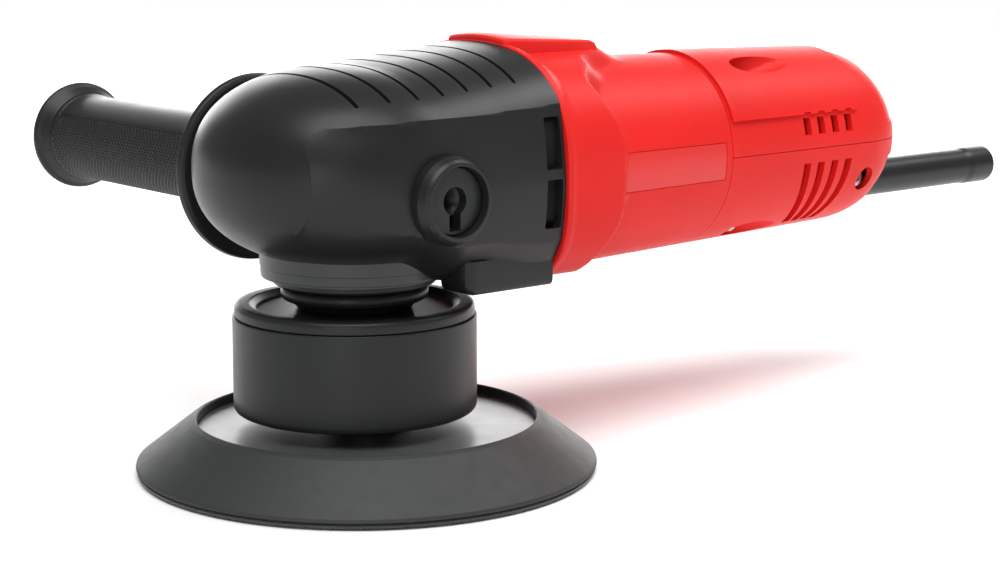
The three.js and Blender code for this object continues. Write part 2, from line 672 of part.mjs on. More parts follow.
function pinion() {
  const gear = { teeth: PINION_TEETH, cone: pinionCone, backDepth: 3 };
  const gapDown = 1.5 * Math.PI + Math.PI / PINION_TEETH; // a gap between teeth faces the ring gear
  const solid = bevelGear({ ...gear, boreRadius: SHAFT_RADIUS + GAP - 1, firstTurn: gapDown });
  return solid.rotate([0, -90, 0]).translate([0, 0, MOTOR_Z]);
}

function armatureShaft() {
  return onShaft([
    [0, 15], [SHAFT_RADIUS - 1, 15], [SHAFT_RADIUS - 1, 31.5], [SHAFT_RADIUS, 32.5],
    [SHAFT_RADIUS, 170], [0, 170],
  ], SMALL_SIDES);
}

function fan() {
  const disc = shaftRing(SHAFT_RADIUS + GAP, 29, [62, 64], MID_SIDES);
  const hub = shaftRing(SHAFT_RADIUS + GAP, 8, [55, 64], SMALL_SIDES);
  const blades = Array.from({ length: 9 }, (_, i) =>
    box([56, -1, 7], [62.5, 1, 28.5]).rotate([(360 * i) / 9, 0, 0]).translate([0, 0, MOTOR_Z]));
  return join(disc, hub, ...blades);
}

function armatureCore() {
  const slot = box([60, -1.2, 12], [130, 1.2, 30]);
  const slots = Array.from({ length: 12 }, (_, i) =>
    slot.rotate([30 * i, 0, 0]).translate([0, 0, MOTOR_Z]));
  return cut(shaftRing(SHAFT_RADIUS + GAP, 19, [76, 122], MID_SIDES), ...slots);
}

function armatureWinding(range) {
  const [low, high] = range;
  const middle = (low + high) / 2;
  return onShaft([
    [7, low], [14, low], [17.5, middle], [14, high], [7, high], [7, low],
  ], MID_SIDES);
}

function stator() {
  const coilSpace = [-1, 1].map((side) =>
    box([60, side < 0 ? -29 : 10, -15], [140, side < 0 ? -10 : 29, 15]).translate([0, 0, MOTOR_Z]));
  return cut(shaftRing(20, STATOR_RADIUS, [74, 124], BIG_SIDES), ...coilSpace);
}

function fieldCoil(side) {
  const ys = side < 0 ? [-28.6, -21.5] : [21.5, 28.6];
  return box([69, ys[0], MOTOR_Z - 12.5], [129, ys[1], MOTOR_Z + 12.5]);
}

function rearBracket() {
  const notches = atTailScrews(SCREW_TURNS, POCKET.radius + 1.8, [150, 180]);
  const disc = cut(shaftRing(11.3, 30.6, [160, 163.5], MID_SIDES), ...notches);
  const seat = shaftRing(11.3, 14, [161, 171], MID_SIDES);
  return join(disc, seat);
}

function brushHolder(side) {
  const ys = side < 0 ? [-29, -15] : [15, 29];
  const sleeve = box([143, ys[0], MOTOR_Z - 5.4], [155, ys[1], MOTOR_Z + 5.4]);
  return cut(sleeve, box([145, -40, MOTOR_Z - 3.6], [153, 40, MOTOR_Z + 3.6]));
}

function carbonBrush(side) {
  const ys = side < 0 ? [-24, -13.4] : [13.4, 24];
  return box([145.3, ys[0], MOTOR_Z - 3.3], [152.7, ys[1], MOTOR_Z + 3.3]);
}

function brushSpring(side) {
  const ys = side < 0 ? [-28.6, -24.3] : [24.3, 28.6];
  return rod("y", 2.4, ys, 12, [149, 0, MOTOR_Z]);
}

// ---- Controls ----
const DIAL = { x: 190, y: 24.2, z: 101.6, radius: 11.4, thick: 5.4 };

function speedDial() {
  const low = DIAL.z - DIAL.thick / 2;
  const wheel = rod("z", DIAL.radius, [low, low + DIAL.thick], MID_SIDES, [DIAL.x, DIAL.y, 0]);
  const bore = rod("z", 2.3, [low - 1, low + 9], 12, [DIAL.x, DIAL.y, 0]);
  const notches = Array.from({ length: 16 }, (_, i) =>
    box([DIAL.radius - 0.7, -0.6, low - 1], [DIAL.radius + 1, 0.6, low + 9])
      .rotate([0, 0, (360 * i) / 16]).translate([DIAL.x, DIAL.y, 0]));
  return cut(wheel, bore, ...notches);
}

function controlBoard() {
  const plate = box([174, -22, 106], [206, 27, 107.6]);
  const potPost = rod("z", 2, [99.2, 106.5], 12, [DIAL.x, DIAL.y, 0]);
  const heatSink = box([180, -14, 107.4], [198, 4, 116]);
  return join(plate, potPost, heatSink);
}

function powerSwitch() {
  const x = 179;
  const button = box([x - 7, 31.2, 82.6], [x + 7, 36.4, 88.4]);
  const skirt = box([x - 4, 22, 83.4], [x + 4, 32, 87.6]);
  const ribs = [-4, 0, 4].map((step) => box([x + step - 0.7, 35, 82.6], [x + step + 0.7, 37.4, 88.4]));
  return join(button, skirt, ...ribs);
}

function switchBody() {
  return box([172, 1, 72.5], [196, 19.5, 88]);
}

// ---- Screws ----
// A screw along the named axis whose head starts at `head` and whose shank reaches back to `tip`.
function screw(axis, head, tip, at) {
  const headEnd = head + Math.sign(head - tip) * 2.4;
  const range = (a, b) => [Math.min(a, b), Math.max(a, b)];
  const slotHalf = 0.5;
  const slotDepth = range(headEnd, headEnd - Math.sign(headEnd - tip) * 1.1);
  const slot = axis === "x"
    ? box([slotDepth[0], -3, -slotHalf], [slotDepth[1], 3, slotHalf])
    : box([-3, slotDepth[0], -slotHalf], [3, slotDepth[1], slotHalf]);
  return cut(
    join(
      rod(axis, 3.5, range(head, headEnd), SMALL_SIDES, at),
      rod(axis, SCREW_SHANK, range(tip, head + Math.sign(head - tip)), SMALL_SIDES, at),
    ),
    slot.translate(at),
  );
}

function tailScrew(degrees) {
  return screw("x", SCREW_HEAD_X, 133, tailScrewAxis(degrees));
}

// ---- Assembly ----
const root = new THREE.Group();

function piece(group, name, material, solid) {
  const mesh = new THREE.Mesh(geometryOf(solid), material);
  mesh.name = name;
  group.add(mesh);
}

function addGroup(name, parts) {
  const group = new THREE.Group();
  group.name = name;
  parts.forEach(([node, material, solid]) => piece(group, node, material, solid));
  root.add(group);
}

addGroup("pad_group", [
  ["hook_face", BLACK_PLASTIC, hookFace()],
  ["foam_pad", FOAM, foamPad()],
  ["backing_plate", GREY_PLASTIC, backingPlate()],
  ["pad_stud", STEEL, padStud()],
  ["pad_spindle", STEEL, padSpindle()],
]);

addGroup("rotor_group", [
  ["pad_bearing_lower", STEEL, padBearing([22, 30.6])],
  ["pad_bearing_upper", STEEL, padBearing([31.4, PAD_BEARING_TOP_Z])],
  ["eccentric_hub", CAST_ALUMINIUM, eccentricHub()],
  ["counterweight", STEEL, counterweight()],
  ["counterweight_drum", BLACK_PLASTIC, drum()],
  ["drum_lid", BLACK_PLASTIC, drumLid()],
  ["spindle_collar", BLACK_PLASTIC, spindleCollar()],
  ["spindle", STEEL, spindle()],
  ["ring_gear", STEEL, ringGear()],
]);

addGroup("gear_case_group", [
  ["gear_case", CAST_ALUMINIUM, gearCase()],
  ["gear_cover", BLACK_RUBBER, gearCover()],
  ["bearing_retainer", CAST_ALUMINIUM, bearingRetainer()],
  ["spindle_bearing_lower", STEEL, tube("z", SPINDLE_RADIUS + GAP, BEARING_RADIUS, BEARING_Z)],
  ["spindle_bearing_upper", STEEL, tube("z", SPINDLE_RADIUS + GAP, 9, [99.6, SPINDLE_TOP_Z])],
  ["boss_insert_near", BLACK_PLASTIC, bossInsert(-1)],
  ["boss_insert_far", BLACK_PLASTIC, bossInsert(1)],
]);

addGroup("side_handle_group", [
  ["handle_stud", STEEL, handleStud()],
  ["handle_guard", BLACK_PLASTIC, handleGuard()],
  ["handle_grip", BLACK_RUBBER, handleGrip()],
  ["handle_end_cap", BLACK_PLASTIC, handleEndCap()],
]);

addGroup("housing_group", [
  ["motor_housing", RED, motorHousing()],
  ["tail_cover_upper", RED, tailUpper()],
  ["tail_cover_lower", RED, tailLower()],
  ["tail_top_panel", RED, tailTopPanel()],
  ["strain_relief", BLACK_RUBBER, strainRelief()],
  ["cord_clamp", BLACK_PLASTIC, cordClamp()],
  ["tail_side_screw", STEEL, screw("y", SIDE_SCREW.headY, SIDE_SCREW.bossY - 1, SIDE_SCREW_AT)],
  ...SCREW_TURNS.map((degrees, i) => ["tail_screw_" + (i + 1), STEEL, tailScrew(degrees)]),
]);

addGroup("motor_group", [
  ["bevel_pinion", STEEL, pinion()],
  ["armature_shaft", STEEL, armatureShaft()],
  ["cooling_fan", BLACK_PLASTIC, fan()],
  ["armature_core", STEEL, armatureCore()],
  ["armature_winding_front", COPPER, armatureWinding([67, 75.6])],
  ["armature_winding_rear", COPPER, armatureWinding([122.4, 134])],
  ["commutator", COPPER, shaftRing(SHAFT_RADIUS + GAP, 13, [140, 157])],
  ["front_bearing", STEEL, shaftRing(SHAFT_RADIUS + GAP, 15, [38, 47])],
  ["rear_bearing", STEEL, shaftRing(SHAFT_RADIUS + GAP, 11, [162, 169])],
  ["stator_core", STEEL, stator()],
  ["field_coil_near", COPPER, fieldCoil(-1)],
  ["field_coil_far", COPPER, fieldCoil(1)],
  ["rear_bracket", BLACK_PLASTIC, rearBracket()],
]);

const NEAR_AND_FAR = [["near", -1], ["far", 1]];
addGroup("brush_group", NEAR_AND_FAR.flatMap(([name, side]) => [
  ["brush_holder_" + name, BRASS, brushHolder(side)],
  ["carbon_brush_" + name, CARBON, carbonBrush(side)],
  ["brush_spring_" + name, STEEL, brushSpring(side)],
]));

addGroup("control_group", [
  ["speed_dial", BLACK_PLASTIC, speedDial()],
  ["control_board", BOARD_GREEN, controlBoard()],
  ["power_switch", BLACK_PLASTIC, powerSwitch()],
  ["switch_body", BLACK_PLASTIC, switchBody()],
]);

export default root;
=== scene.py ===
"""The looks of the dual action polisher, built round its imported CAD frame.

Sizes are millimetres in the frame of the CAD: the origin is where the spindle's axis meets the pad's
face, +X runs back along the motor and +Z is up. They become metres where a mesh is made.
"""

import json
import math

import bmesh
import bpy
from mathutils import Matrix, Vector


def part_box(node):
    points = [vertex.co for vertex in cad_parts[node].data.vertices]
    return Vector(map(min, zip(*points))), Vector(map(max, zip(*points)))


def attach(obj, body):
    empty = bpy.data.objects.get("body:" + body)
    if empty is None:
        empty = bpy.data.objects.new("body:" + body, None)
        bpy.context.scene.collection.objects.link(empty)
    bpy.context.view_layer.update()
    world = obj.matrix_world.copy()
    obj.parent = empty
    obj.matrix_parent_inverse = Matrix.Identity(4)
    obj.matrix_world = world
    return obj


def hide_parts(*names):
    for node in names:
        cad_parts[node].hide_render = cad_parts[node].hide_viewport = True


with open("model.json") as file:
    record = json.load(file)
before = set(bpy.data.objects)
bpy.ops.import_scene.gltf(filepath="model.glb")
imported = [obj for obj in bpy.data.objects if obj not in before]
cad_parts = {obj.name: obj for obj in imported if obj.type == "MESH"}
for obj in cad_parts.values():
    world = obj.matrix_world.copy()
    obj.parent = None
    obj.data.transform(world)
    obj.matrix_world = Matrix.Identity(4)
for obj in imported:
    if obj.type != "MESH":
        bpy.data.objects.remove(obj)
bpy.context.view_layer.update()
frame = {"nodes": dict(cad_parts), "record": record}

# ---- Driving sizes, the same as the CAD's ----
MM = 0.001
TAU = 2 * math.pi

MOTOR_Z = 95
MOTOR_AXIS = (0, 0, MOTOR_Z)
NOSE_RADIUS = 52.2
COVER_END_X = 50.4
COVER_MID_Z = 100
COVER_POWER = 2.35
HANDLE = (2, 0, 94)
HANDLE_BOSS_Y = 53.4

PAD_CENTRE = tuple(v / MM for v in (sum(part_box("foam_pad"), Vector()) / 2).xy) + (0,)
PAD_RADIUS = 76.2
PAD_TOP_RADIUS = 56.8
PLATE_TOP_Z = 14.8
DRUM_RADIUS = 40.2

BARREL_X = 100
BARREL_RADIUS = 36.1
BARREL_TAPER = 0.0268
HOUSING_X = (50.8, 139.75)
TAIL_X = 140.05
TAIL_DOME_X = 213
TAIL_END_X = 247
RELIEF_Z = 75.2
RELIEF_END_X = 324

# ---- Camera ----
CAMERA_AT = (-428.8, -590.47, 194.29)
CAMERA_AZIMUTH = -39.74
CAMERA_ELEVATION = 10.37
CAMERA_ROLL = 0.09
SENSOR_WIDTH = 36
LENS = 81.145


def make_camera():
    data = bpy.data.cameras.new("camera")
    data.sensor_width = SENSOR_WIDTH
    data.lens = LENS
    data.clip_start = 0.05
    camera = bpy.data.objects.new("camera", data)
    turn = Matrix.Rotation(math.radians(CAMERA_AZIMUTH), 4, "Z")
    tilt = Matrix.Rotation(math.radians(90 - CAMERA_ELEVATION), 4, "X")
    roll = Matrix.Rotation(math.radians(CAMERA_ROLL), 4, "Z")
    camera.matrix_world = Matrix.Translation(Vector(CAMERA_AT) * MM) @ turn @ tilt @ roll
    bpy.context.scene.collection.objects.link(camera)
    bpy.context.scene.camera = camera


# ---- Light and floor ----
WORLD_STRENGTH = 0.3
SUN = {"direction": (-0.25, -0.3, 1), "strength": 2.5, "angle": 50}
# A softbox has a name, a place, the point it faces, its width and height, and its power.
SOFTBOXES = [
    ("softbox_back", (1250, 1400, 430), (200, 0, 80), (2500, 860), 30),
    ("softbox_side", (900, -250, 1100), (0, 0, 100), (500, 700), 6),
    ("softbox_front", (-1150, -1000, 250), (0, 0, 90), (500, 500), 2),
]
FLOOR = {"half_side": 6000, "z": -0.3, "darkest": 0.97, "palest": 0.985}


def area_light(name, at, target, size, power):
    data = bpy.data.lights.new(name, "AREA")
    data.shape = "RECTANGLE"
    data.size, data.size_y = (side * MM for side in size)
    data.energy = power
    light = bpy.data.objects.new(name, data)
    light.location = Vector(at) * MM
    aim = Vector(target) * MM - light.location
    light.rotation_euler = aim.to_track_quat("-Z", "Y").to_euler()
    light.visible_camera = False
    bpy.context.scene.collection.objects.link(light)


def make_world():
    world = bpy.data.worlds.new("studio")
    world.use_nodes = True
    background = world.node_tree.nodes["Background"]
    background.inputs["Color"].default_value = (1, 1, 1, 1)
    background.inputs["Strength"].default_value = WORLD_STRENGTH
    bpy.context.scene.world = world
    bpy.context.scene.view_settings.view_transform = "Standard"


def sun_light(name, direction, strength, angle):
    data = bpy.data.lights.new(name, "SUN")
    data.energy = strength
    data.angle = math.radians(angle)
    light = bpy.data.objects.new(name, data)
    light.rotation_euler = Vector(direction).to_track_quat("Z", "Y").to_euler()
    bpy.context.scene.collection.objects.link(light)


# ---- Meshes ----
ON_AXIS = 1e-6
SHARP_ANGLE = 32
WELD_DISTANCE = 0.004


def make_object(name, points, faces):
    mesh = bpy.data.meshes.new(name)
    mesh.from_pydata([Vector(p) * MM for p in points], [], faces)
    tidy = bmesh.new()
    tidy.from_mesh(mesh)
    bmesh.ops.recalc_face_normals(tidy, faces=tidy.faces)
    tidy.to_mesh(mesh)
    tidy.free()
    obj = bpy.data.objects.new(name, mesh)
    bpy.context.scene.collection.objects.link(obj)
    return obj


def loft(name, rings, looped=False):
    """A closed solid through rings of equal length.

    A ring of one point is a tip, and looped joins the last ring to the first.
    """
    points, starts = [], []
    for ring in rings:
        starts.append(len(points))
        points.extend(ring)
    faces = []
    pairs = [(k, k + 1) for k in range(len(rings) - 1)]
    if looped:
        pairs.append((len(rings) - 1, 0))
    for a, b in pairs:
        count = max(len(rings[a]), len(rings[b]))
        for i in range(count):
            j = (i + 1) % count
            low = [starts[a]] if len(rings[a]) == 1 else [starts[a] + i, starts[a] + j]
            high = [starts[b]] if len(rings[b]) == 1 else [starts[b] + j, starts[b] + i]
            faces.append(low + high)
    if not looped:
        for k in (0, -1):
            if len(rings[k]) > 1:
                faces.append([starts[k] + i for i in range(len(rings[k]))])
    return make_object(name, points, faces)


def turned_point(axis, at, radius, height, angle):
    across, up = radius * math.cos(angle), radius * math.sin(angle)
    offset = {"x": (height, across, up), "y": (across, height, up), "z": (across, up, height)}[axis]
    return tuple(a + b for a, b in zip(at, offset))


def lathe(name, profile, axis="z", at=(0, 0, 0), sides=160):
    """Turns a profile of (radius, height) points round an axis through at.

    A profile that starts and ends off the axis is a tube.
    """
    looped = profile[0][0] > ON_AXIS and profile[-1][0] > ON_AXIS
    rings = []
    for radius, height in profile:
        steps = [0] if radius <= ON_AXIS else [TAU * i / sides for i in range(sides)]
        rings.append([turned_point(axis, at, radius, height, a) for a in steps])
    return loft(name, rings, looped)


def rounded(corners, closed=False, steps=6):
    """The points of a flat outline of (u, v) or (u, v, fillet) corners, with each fillet as a curve."""
    points = []
    count = len(corners)
    for i, corner in enumerate(corners):
        here = Vector(corner[:2])
        at_end = not closed and i in (0, count - 1)
        if at_end or len(corner) == 2:
            points.append(tuple(here))
            continue
        before = Vector(corners[i - 1][:2]) - here
        after = Vector(corners[(i + 1) % count][:2]) - here
        half = before.angle(after) / 2
        reach = min(corner[2] / math.tan(half), 0.49 * before.length, 0.49 * after.length)
        first, last = here + before.normalized() * reach, here + after.normalized() * reach
        for k in range(steps + 1):
            t = k / steps
            points.append(tuple(first * (1 - t) ** 2 + here * 2 * t * (1 - t) + last * t**2))
    return points


def prism(name, outline, axis, low, high):
    """A flat outline given thickness along an axis. Its u and v are the two other axes in order."""
    def corner_at(u, v, w):
        return {"x": (w, u, v), "y": (u, w, v), "z": (u, v, w)}[axis]

    rings = [[corner_at(u, v, w) for u, v in outline] for w in (low, high)]
    return loft(name, rings)


def rounded_box(name, low, high, radius, axis="y"):
    """A box whose edges along one axis are rounded."""
    others = [i for i in range(3) if "xyz"[i] != axis]
    (u0, v0), (u1, v1) = ([corner[i] for i in others] for corner in (low, high))
    corners = [(u0, v0, radius), (u1, v0, radius), (u1, v1, radius), (u0, v1, radius)]
    outline = rounded(corners, closed=True)
    along = "xyz".index(axis)
    return prism(name, outline, axis, low[along], high[along])


def aim(obj, at, direction):
    """Turns a piece made along Z towards a direction and moves its origin to a place."""
    turn = Vector(direction).to_track_quat("Z", "X").to_matrix().to_4x4()
    obj.data.transform(Matrix.Translation(Vector(at) * MM) @ turn)


def bored(name, start, direction, radius, length, sides=40):
    """A round bar for drilling, from start along a direction."""
    bar = lathe(name, [(0, 0), (radius, 0), (radius, length), (0, length)], sides=sides)
    aim(bar, start, direction)
    return bar


def apply_modifiers(obj):
    depsgraph = bpy.context.evaluated_depsgraph_get()
    mesh = bpy.data.meshes.new_from_object(obj.evaluated_get(depsgraph))
    obj.modifiers.clear()
    old = obj.data
    obj.data = mesh
    bpy.data.meshes.remove(old)


def combine(obj, tools, operation="DIFFERENCE"):
    for tool in tools:
        modifier = obj.modifiers.new("combine", "BOOLEAN")
        modifier.operation = operation
        modifier.solver = "MANIFOLD"
        modifier.object = tool
        apply_modifiers(obj)
        bpy.data.objects.remove(tool)
    return obj


def cut(obj, *tools):
    return combine(obj, tools)


def add(obj, *tools):
    return combine(obj, tools, "UNION")


def common(obj, *tools):
    return combine(obj, tools, "INTERSECT")


def place(obj, body, slot, *nodes, material=None, sharp=SHARP_ANGLE):
    """Finishes a piece, rides it on its body and hides the CAD nodes it stands for."""
    welded = bmesh.new()
    welded.from_mesh(obj.data)
    bmesh.ops.remove_doubles(welded, verts=welded.verts, dist=WELD_DISTANCE * MM)
    bmesh.ops.dissolve_degenerate(welded, edges=welded.edges, dist=WELD_DISTANCE * MM)
    welded.to_mesh(obj.data)
    welded.free()
    obj.data.materials.clear()
    obj.data.materials.append(material or MATERIALS[slot])
    obj.data.shade_smooth()
    obj.data.set_sharp_from_angle(angle=math.radians(sharp))
    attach(obj, body)
    if nodes:
        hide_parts(*nodes)


def smooth_between(x, stations):
    """Reads a value at x from (x, value) stations with smooth steps between them."""
    if x <= stations[0][0]:
        return stations[0][1]
    for (x0, v0), (x1, v1) in zip(stations, stations[1:]):
        if x <= x1:
            t = (x - x0) / (x1 - x0)
            return v0 + (v1 - v0) * t * t * (3 - 2 * t)
    return stations[-1][1]


def spread(low, high, count):
    return [low + (high - low) * i / (count - 1) for i in range(count)]


# ---- Materials ----
RED = (0.72, 0.018, 0.015)
RUBBER_BLACK = (0.012, 0.0125, 0.0125)
PLASTIC_BLACK = (0.014, 0.015, 0.015)
WORN_POINTINESS = (0.52, 0.62)


class Nodes:
    """Short hands for building one node material."""

    def __init__(self, name):
        self.material = bpy.data.materials.new(name)
        self.material.use_nodes = True
        self.tree = self.material.node_tree
        self.shader = self.tree.nodes["Principled BSDF"]
        self.position = self.add("ShaderNodeTexCoord").outputs["Object"]

    def add(self, kind, **settings):
        node = self.tree.nodes.new(kind)
        for key, value in settings.items():
            setattr(node, key, value)
        return node

    def link(self, output, target):
        self.tree.links.new(output, target)

    def stretched(self, scale):
        mapping = self.add("ShaderNodeMapping")
        mapping.inputs["Scale"].default_value = scale
        self.link(self.position, mapping.inputs["Vector"])
        return mapping.outputs["Vector"]

    def noise(self, scale, detail=3, vector=None):
        node = self.add("ShaderNodeTexNoise")
        node.inputs["Scale"].default_value = scale
        node.inputs["Detail"].default_value = detail
        self.link(vector or self.position, node.inputs["Vector"])
        return node.outputs["Fac"]

    def cells(self, scale):
        node = self.add("ShaderNodeTexVoronoi")
        node.inputs["Scale"].default_value = scale
        self.link(self.position, node.inputs["Vector"])
        return node.outputs["Distance"]

    def ramp(self, value, stops):
        node = self.add("ShaderNodeValToRGB")
        elements = node.color_ramp.elements
        while len(elements) < len(stops):
            elements.new(0.5)
        for element, (position, color) in zip(elements, stops):
            element.position = position
            element.color = (*color, 1)
        self.link(value, node.inputs["Fac"])
        return node.outputs["Color"]

    def span(self, value, low, high):
        node = self.add("ShaderNodeMapRange")
        node.inputs["To Min"].default_value = low
        node.inputs["To Max"].default_value = high
        self.link(value, node.inputs["Value"])
        return node.outputs["Result"]

    def mix(self, share, first, second):
        node = self.add("ShaderNodeMix", data_type="RGBA")
        sockets = (node.inputs["Factor"], node.inputs[6], node.inputs[7])
        for value, socket in zip((share, first, second), sockets):
            if isinstance(value, bpy.types.NodeSocket):
                self.link(value, socket)
            else:
                socket.default_value = value if isinstance(value, float) else (*value, 1)
        return node.outputs[2]

    def edge_wear(self):
        """0 on flats and 1 on the sharpest outer edges."""
        pointiness = self.add("ShaderNodeNewGeometry").outputs["Pointiness"]
        node = self.add("ShaderNodeMapRange")
        node.inputs["From Min"].default_value = WORN_POINTINESS[0]
        node.inputs["From Max"].default_value = WORN_POINTINESS[1]
        self.link(pointiness, node.inputs["Value"])
        return node.outputs["Result"]

    def bump(self, height, strength, distance, under=None):
        node = self.add("ShaderNodeBump")
        node.inputs["Strength"].default_value = strength
        node.inputs["Distance"].default_value = distance * MM
        self.link(height, node.inputs["Height"])
        if under:
            self.link(under, node.inputs["Normal"])
        return node.outputs["Normal"]

    def set(self, **values):
        for key, value in values.items():
            socket = self.shader.inputs[key.replace("_", " ")]
            if isinstance(value, bpy.types.NodeSocket):
                self.link(value, socket)
            elif isinstance(value, tuple):
                socket.default_value = (*value, 1)
            else:
                socket.default_value = value
        return self.material


def shade(color, factor):
    return tuple(min(1.0, channel * factor) for channel in color)


def moulded_plastic(name, color, roughness, grain, worn=1.5, specular=0.5):
    """Plastic with a fine moulded grain, faint clouding and paler worn edges."""
    n = Nodes(name)
    clouds = n.noise(18, 4)
    tint = n.ramp(clouds, [(0.3, shade(color, 0.93)), (0.7, shade(color, 1.06))])
    worn_tint = n.mix(n.edge_wear(), tint, shade(color, worn))
    waves = n.bump(n.noise(140, 2), 0.12, 0.15)
    bumps = n.bump(n.noise(2600, 2), grain, 0.05, waves)
    return n.set(
        Base_Color=worn_tint,
        Roughness=n.span(n.noise(90, 4), roughness - 0.05, roughness + 0.06),
        Specular_IOR_Level=specular,
        Normal=bumps,
    )


def machined_metal(name, color, roughness, scale=(60, 60, 2400), cast=False):
    """Metal with turning marks, or the pebbled skin of a casting."""
    n = Nodes(name)
    marks = n.cells(900) if cast else n.noise(1, 3, n.stretched(scale))
    tint = n.ramp(n.noise(45, 4), [(0.3, shade(color, 0.85)), (0.7, shade(color, 1.08))])
    return n.set(
        Base_Color=n.mix(n.edge_wear(), tint, shade(color, 1.3)),
        Metallic=1.0,
        Roughness=n.span(n.noise(160, 4), roughness - 0.08, roughness + 0.1),
        Normal=n.bump(marks, 0.35 if cast else 0.18, 0.06),
    )


def skinned_foam(name, color):
    """The closed skin of a moulded foam pad: fine pores, slight mottling."""
    n = Nodes(name)
    pores = n.cells(1500)
    tint = n.ramp(n.noise(70, 5), [(0.3, shade(color, 0.9)), (0.7, shade(color, 1.1))])
    pored = n.mix(n.span(pores, 0.0, 0.25), shade(color, 0.8), tint)
    return n.set(
        Base_Color=pored,
        Roughness=n.span(n.noise(200, 3), 0.5, 0.66),
        Normal=n.bump(pores, 0.2, 0.08, n.bump(n.noise(500, 3), 0.25, 0.08)),
    )


def hook_fabric(name, color):
    """Brushed fibres with a soft sheen."""
    n = Nodes(name)
    fibres = n.noise(1, 4, n.stretched((4200, 900, 900)))
    return n.set(
        Base_Color=n.ramp(fibres, [(0.35, shade(color, 0.6)), (0.65, shade(color, 1.8))]),
        Roughness=0.85,
        Sheen_Weight=0.4,
        Normal=n.bump(fibres, 0.6, 0.1),
    )


def wound_copper(name, color):
    """Enamelled wire laid in close turns."""
    n = Nodes(name)
    wire = n.add("ShaderNodeTexWave", wave_type="BANDS", bands_direction="Z")
    wire.inputs["Scale"].default_value = 320
    wire.inputs["Distortion"].default_value = 0.6
    n.link(n.position, wire.inputs["Vector"])
    turns = wire.outputs["Fac"]
    return n.set(
        Base_Color=n.ramp(turns, [(0.1, shade(color, 0.35)), (0.6, color)]),
        Metallic=0.8,
        Roughness=0.32,
        Coat_Weight=0.5,
        Normal=n.bump(turns, 0.8, 0.3),
    )


def pressed_carbon(name, color):
    """Dark grains pressed into a block."""
    n = Nodes(name)
    grains = n.cells(2200)
    return n.set(
        Base_Color=n.ramp(grains, [(0.1, shade(color, 0.7)), (0.8, shade(color, 2.2))]),
        Roughness=n.span(n.noise(400, 3), 0.5, 0.8),
        Normal=n.bump(grains, 0.3, 0.05),
    )


def circuit_board(name, color):
    """Solder mask over copper tracks."""
    n = Nodes(name)
    tracks = n.add("ShaderNodeTexBrick")
    tracks.inputs["Scale"].default_value = 160
    tracks.inputs["Mortar Size"].default_value = 0.06
    n.link(n.position, tracks.inputs["Vector"])
    lines = tracks.outputs["Fac"]
    return n.set(
        Base_Color=n.mix(lines, color, shade(color, 2.2)),
        Roughness=n.span(n.noise(120, 3), 0.25, 0.4),
        Normal=n.bump(lines, 0.5, 0.1),
    )


MATERIALS = {
    "red_housing": moulded_plastic("red_housing", RED, 0.42, 0.12, 1.12, specular=0.15),
    "black_rubber": moulded_plastic("black_rubber", RUBBER_BLACK, 0.34, 0.2, 1.6, specular=0.3),
    "black_plastic": moulded_plastic("black_plastic", PLASTIC_BLACK, 0.36, 0.15, 1.6, specular=0.3),
    "foam": skinned_foam("foam", (0.025, 0.027, 0.027)),
    "grey_plate": moulded_plastic("grey_plate", (0.06, 0.063, 0.063), 0.36, 0.2, 1.3),
    "hook_fabric": hook_fabric("hook_fabric", (0.03, 0.03, 0.03)),
    "steel": machined_metal("steel", (0.5, 0.51, 0.52), 0.3),
    "cast_aluminium": machined_metal("cast_aluminium", (0.4, 0.41, 0.42), 0.45, cast=True),
    "copper": wound_copper("copper", (0.62, 0.26, 0.1)),
    "brass": machined_metal("brass", (0.66, 0.47, 0.16), 0.3),
    "carbon": pressed_carbon("carbon", (0.02, 0.02, 0.022)),
    "circuit_board": circuit_board("circuit_board", (0.03, 0.13, 0.06)),
}
LABEL_RED = moulded_plastic("label_red", shade(RED, 0.97), 0.36, 0.05, 1.05)
# The gear case's dark paint made near-black: painted shade for the inside of the cover's vents, where the
# case shows through.
CASE_BLACK_AND_SHADE = moulded_plastic("case_black_and_painted_shade", (0.006, 0.006, 0.006), 0.6, 0.4, specular=0.2)
NECK_BLACK = moulded_plastic("neck_black", (0.034, 0.036, 0.036), 0.36, 0.2, 1.6)


def dress_cad_nodes():
    """Every CAD node gets its slot's material, except the gear case, whose near-black one paints the shade
    seen through the cover's vents; the visible ones are replaced further down.
    """
    for subpart in frame["record"]["subparts"]:
        node = frame["nodes"][subpart["node"]]
        node.data.materials.clear()
        # The gear case takes the near-black painted-shade material instead of its slot's.
        painted = CASE_BLACK_AND_SHADE if subpart["node"] == "gear_case" else MATERIALS[subpart["material_slot"]]
        node.data.materials.append(painted)


# ---- Gear cover ----
# Pairs are (x, size) stations along the cover.
HOOD_HALF_WIDTH = [(-60, NOSE_RADIUS), (0, NOSE_RADIUS), (50, 49.6)]
RIDGE = [(-60, 33.4), (0, 33.4), (50, 38.5)]
BELLY = [(-60, 31.5), (-6, 31.5), (12, 39.5), (50, 48)]
COVER_WALL = 3.5
COVER_SHARP_ANGLE = 15
INNER_CHEEK_Y = 43.95

# The flat side panels: where they lie, how they lean and toe in, and how they run out at the front.
CHEEK = {"y": 47.4, "mid_z": 96, "lean": 0.0052, "toe_in": 0.0095, "toe_in_x": -4, "shoulder_power": 1.4}
CHEEK_FRONT = {"x": -40.7, "corner": 7, "depth": 2.6, "depth_z": (76, 92), "blend_x": (-32, -4)}
CHEEK_RUN_IN = {"top": 0.35, "front": 0.14}
CHEEK_TOP = [(-45, 116.6), (-33.7, 117.8), (-10, 119.2), (20, 119.7), (50, 121)]
CHEEK_LEAST_Y = 4

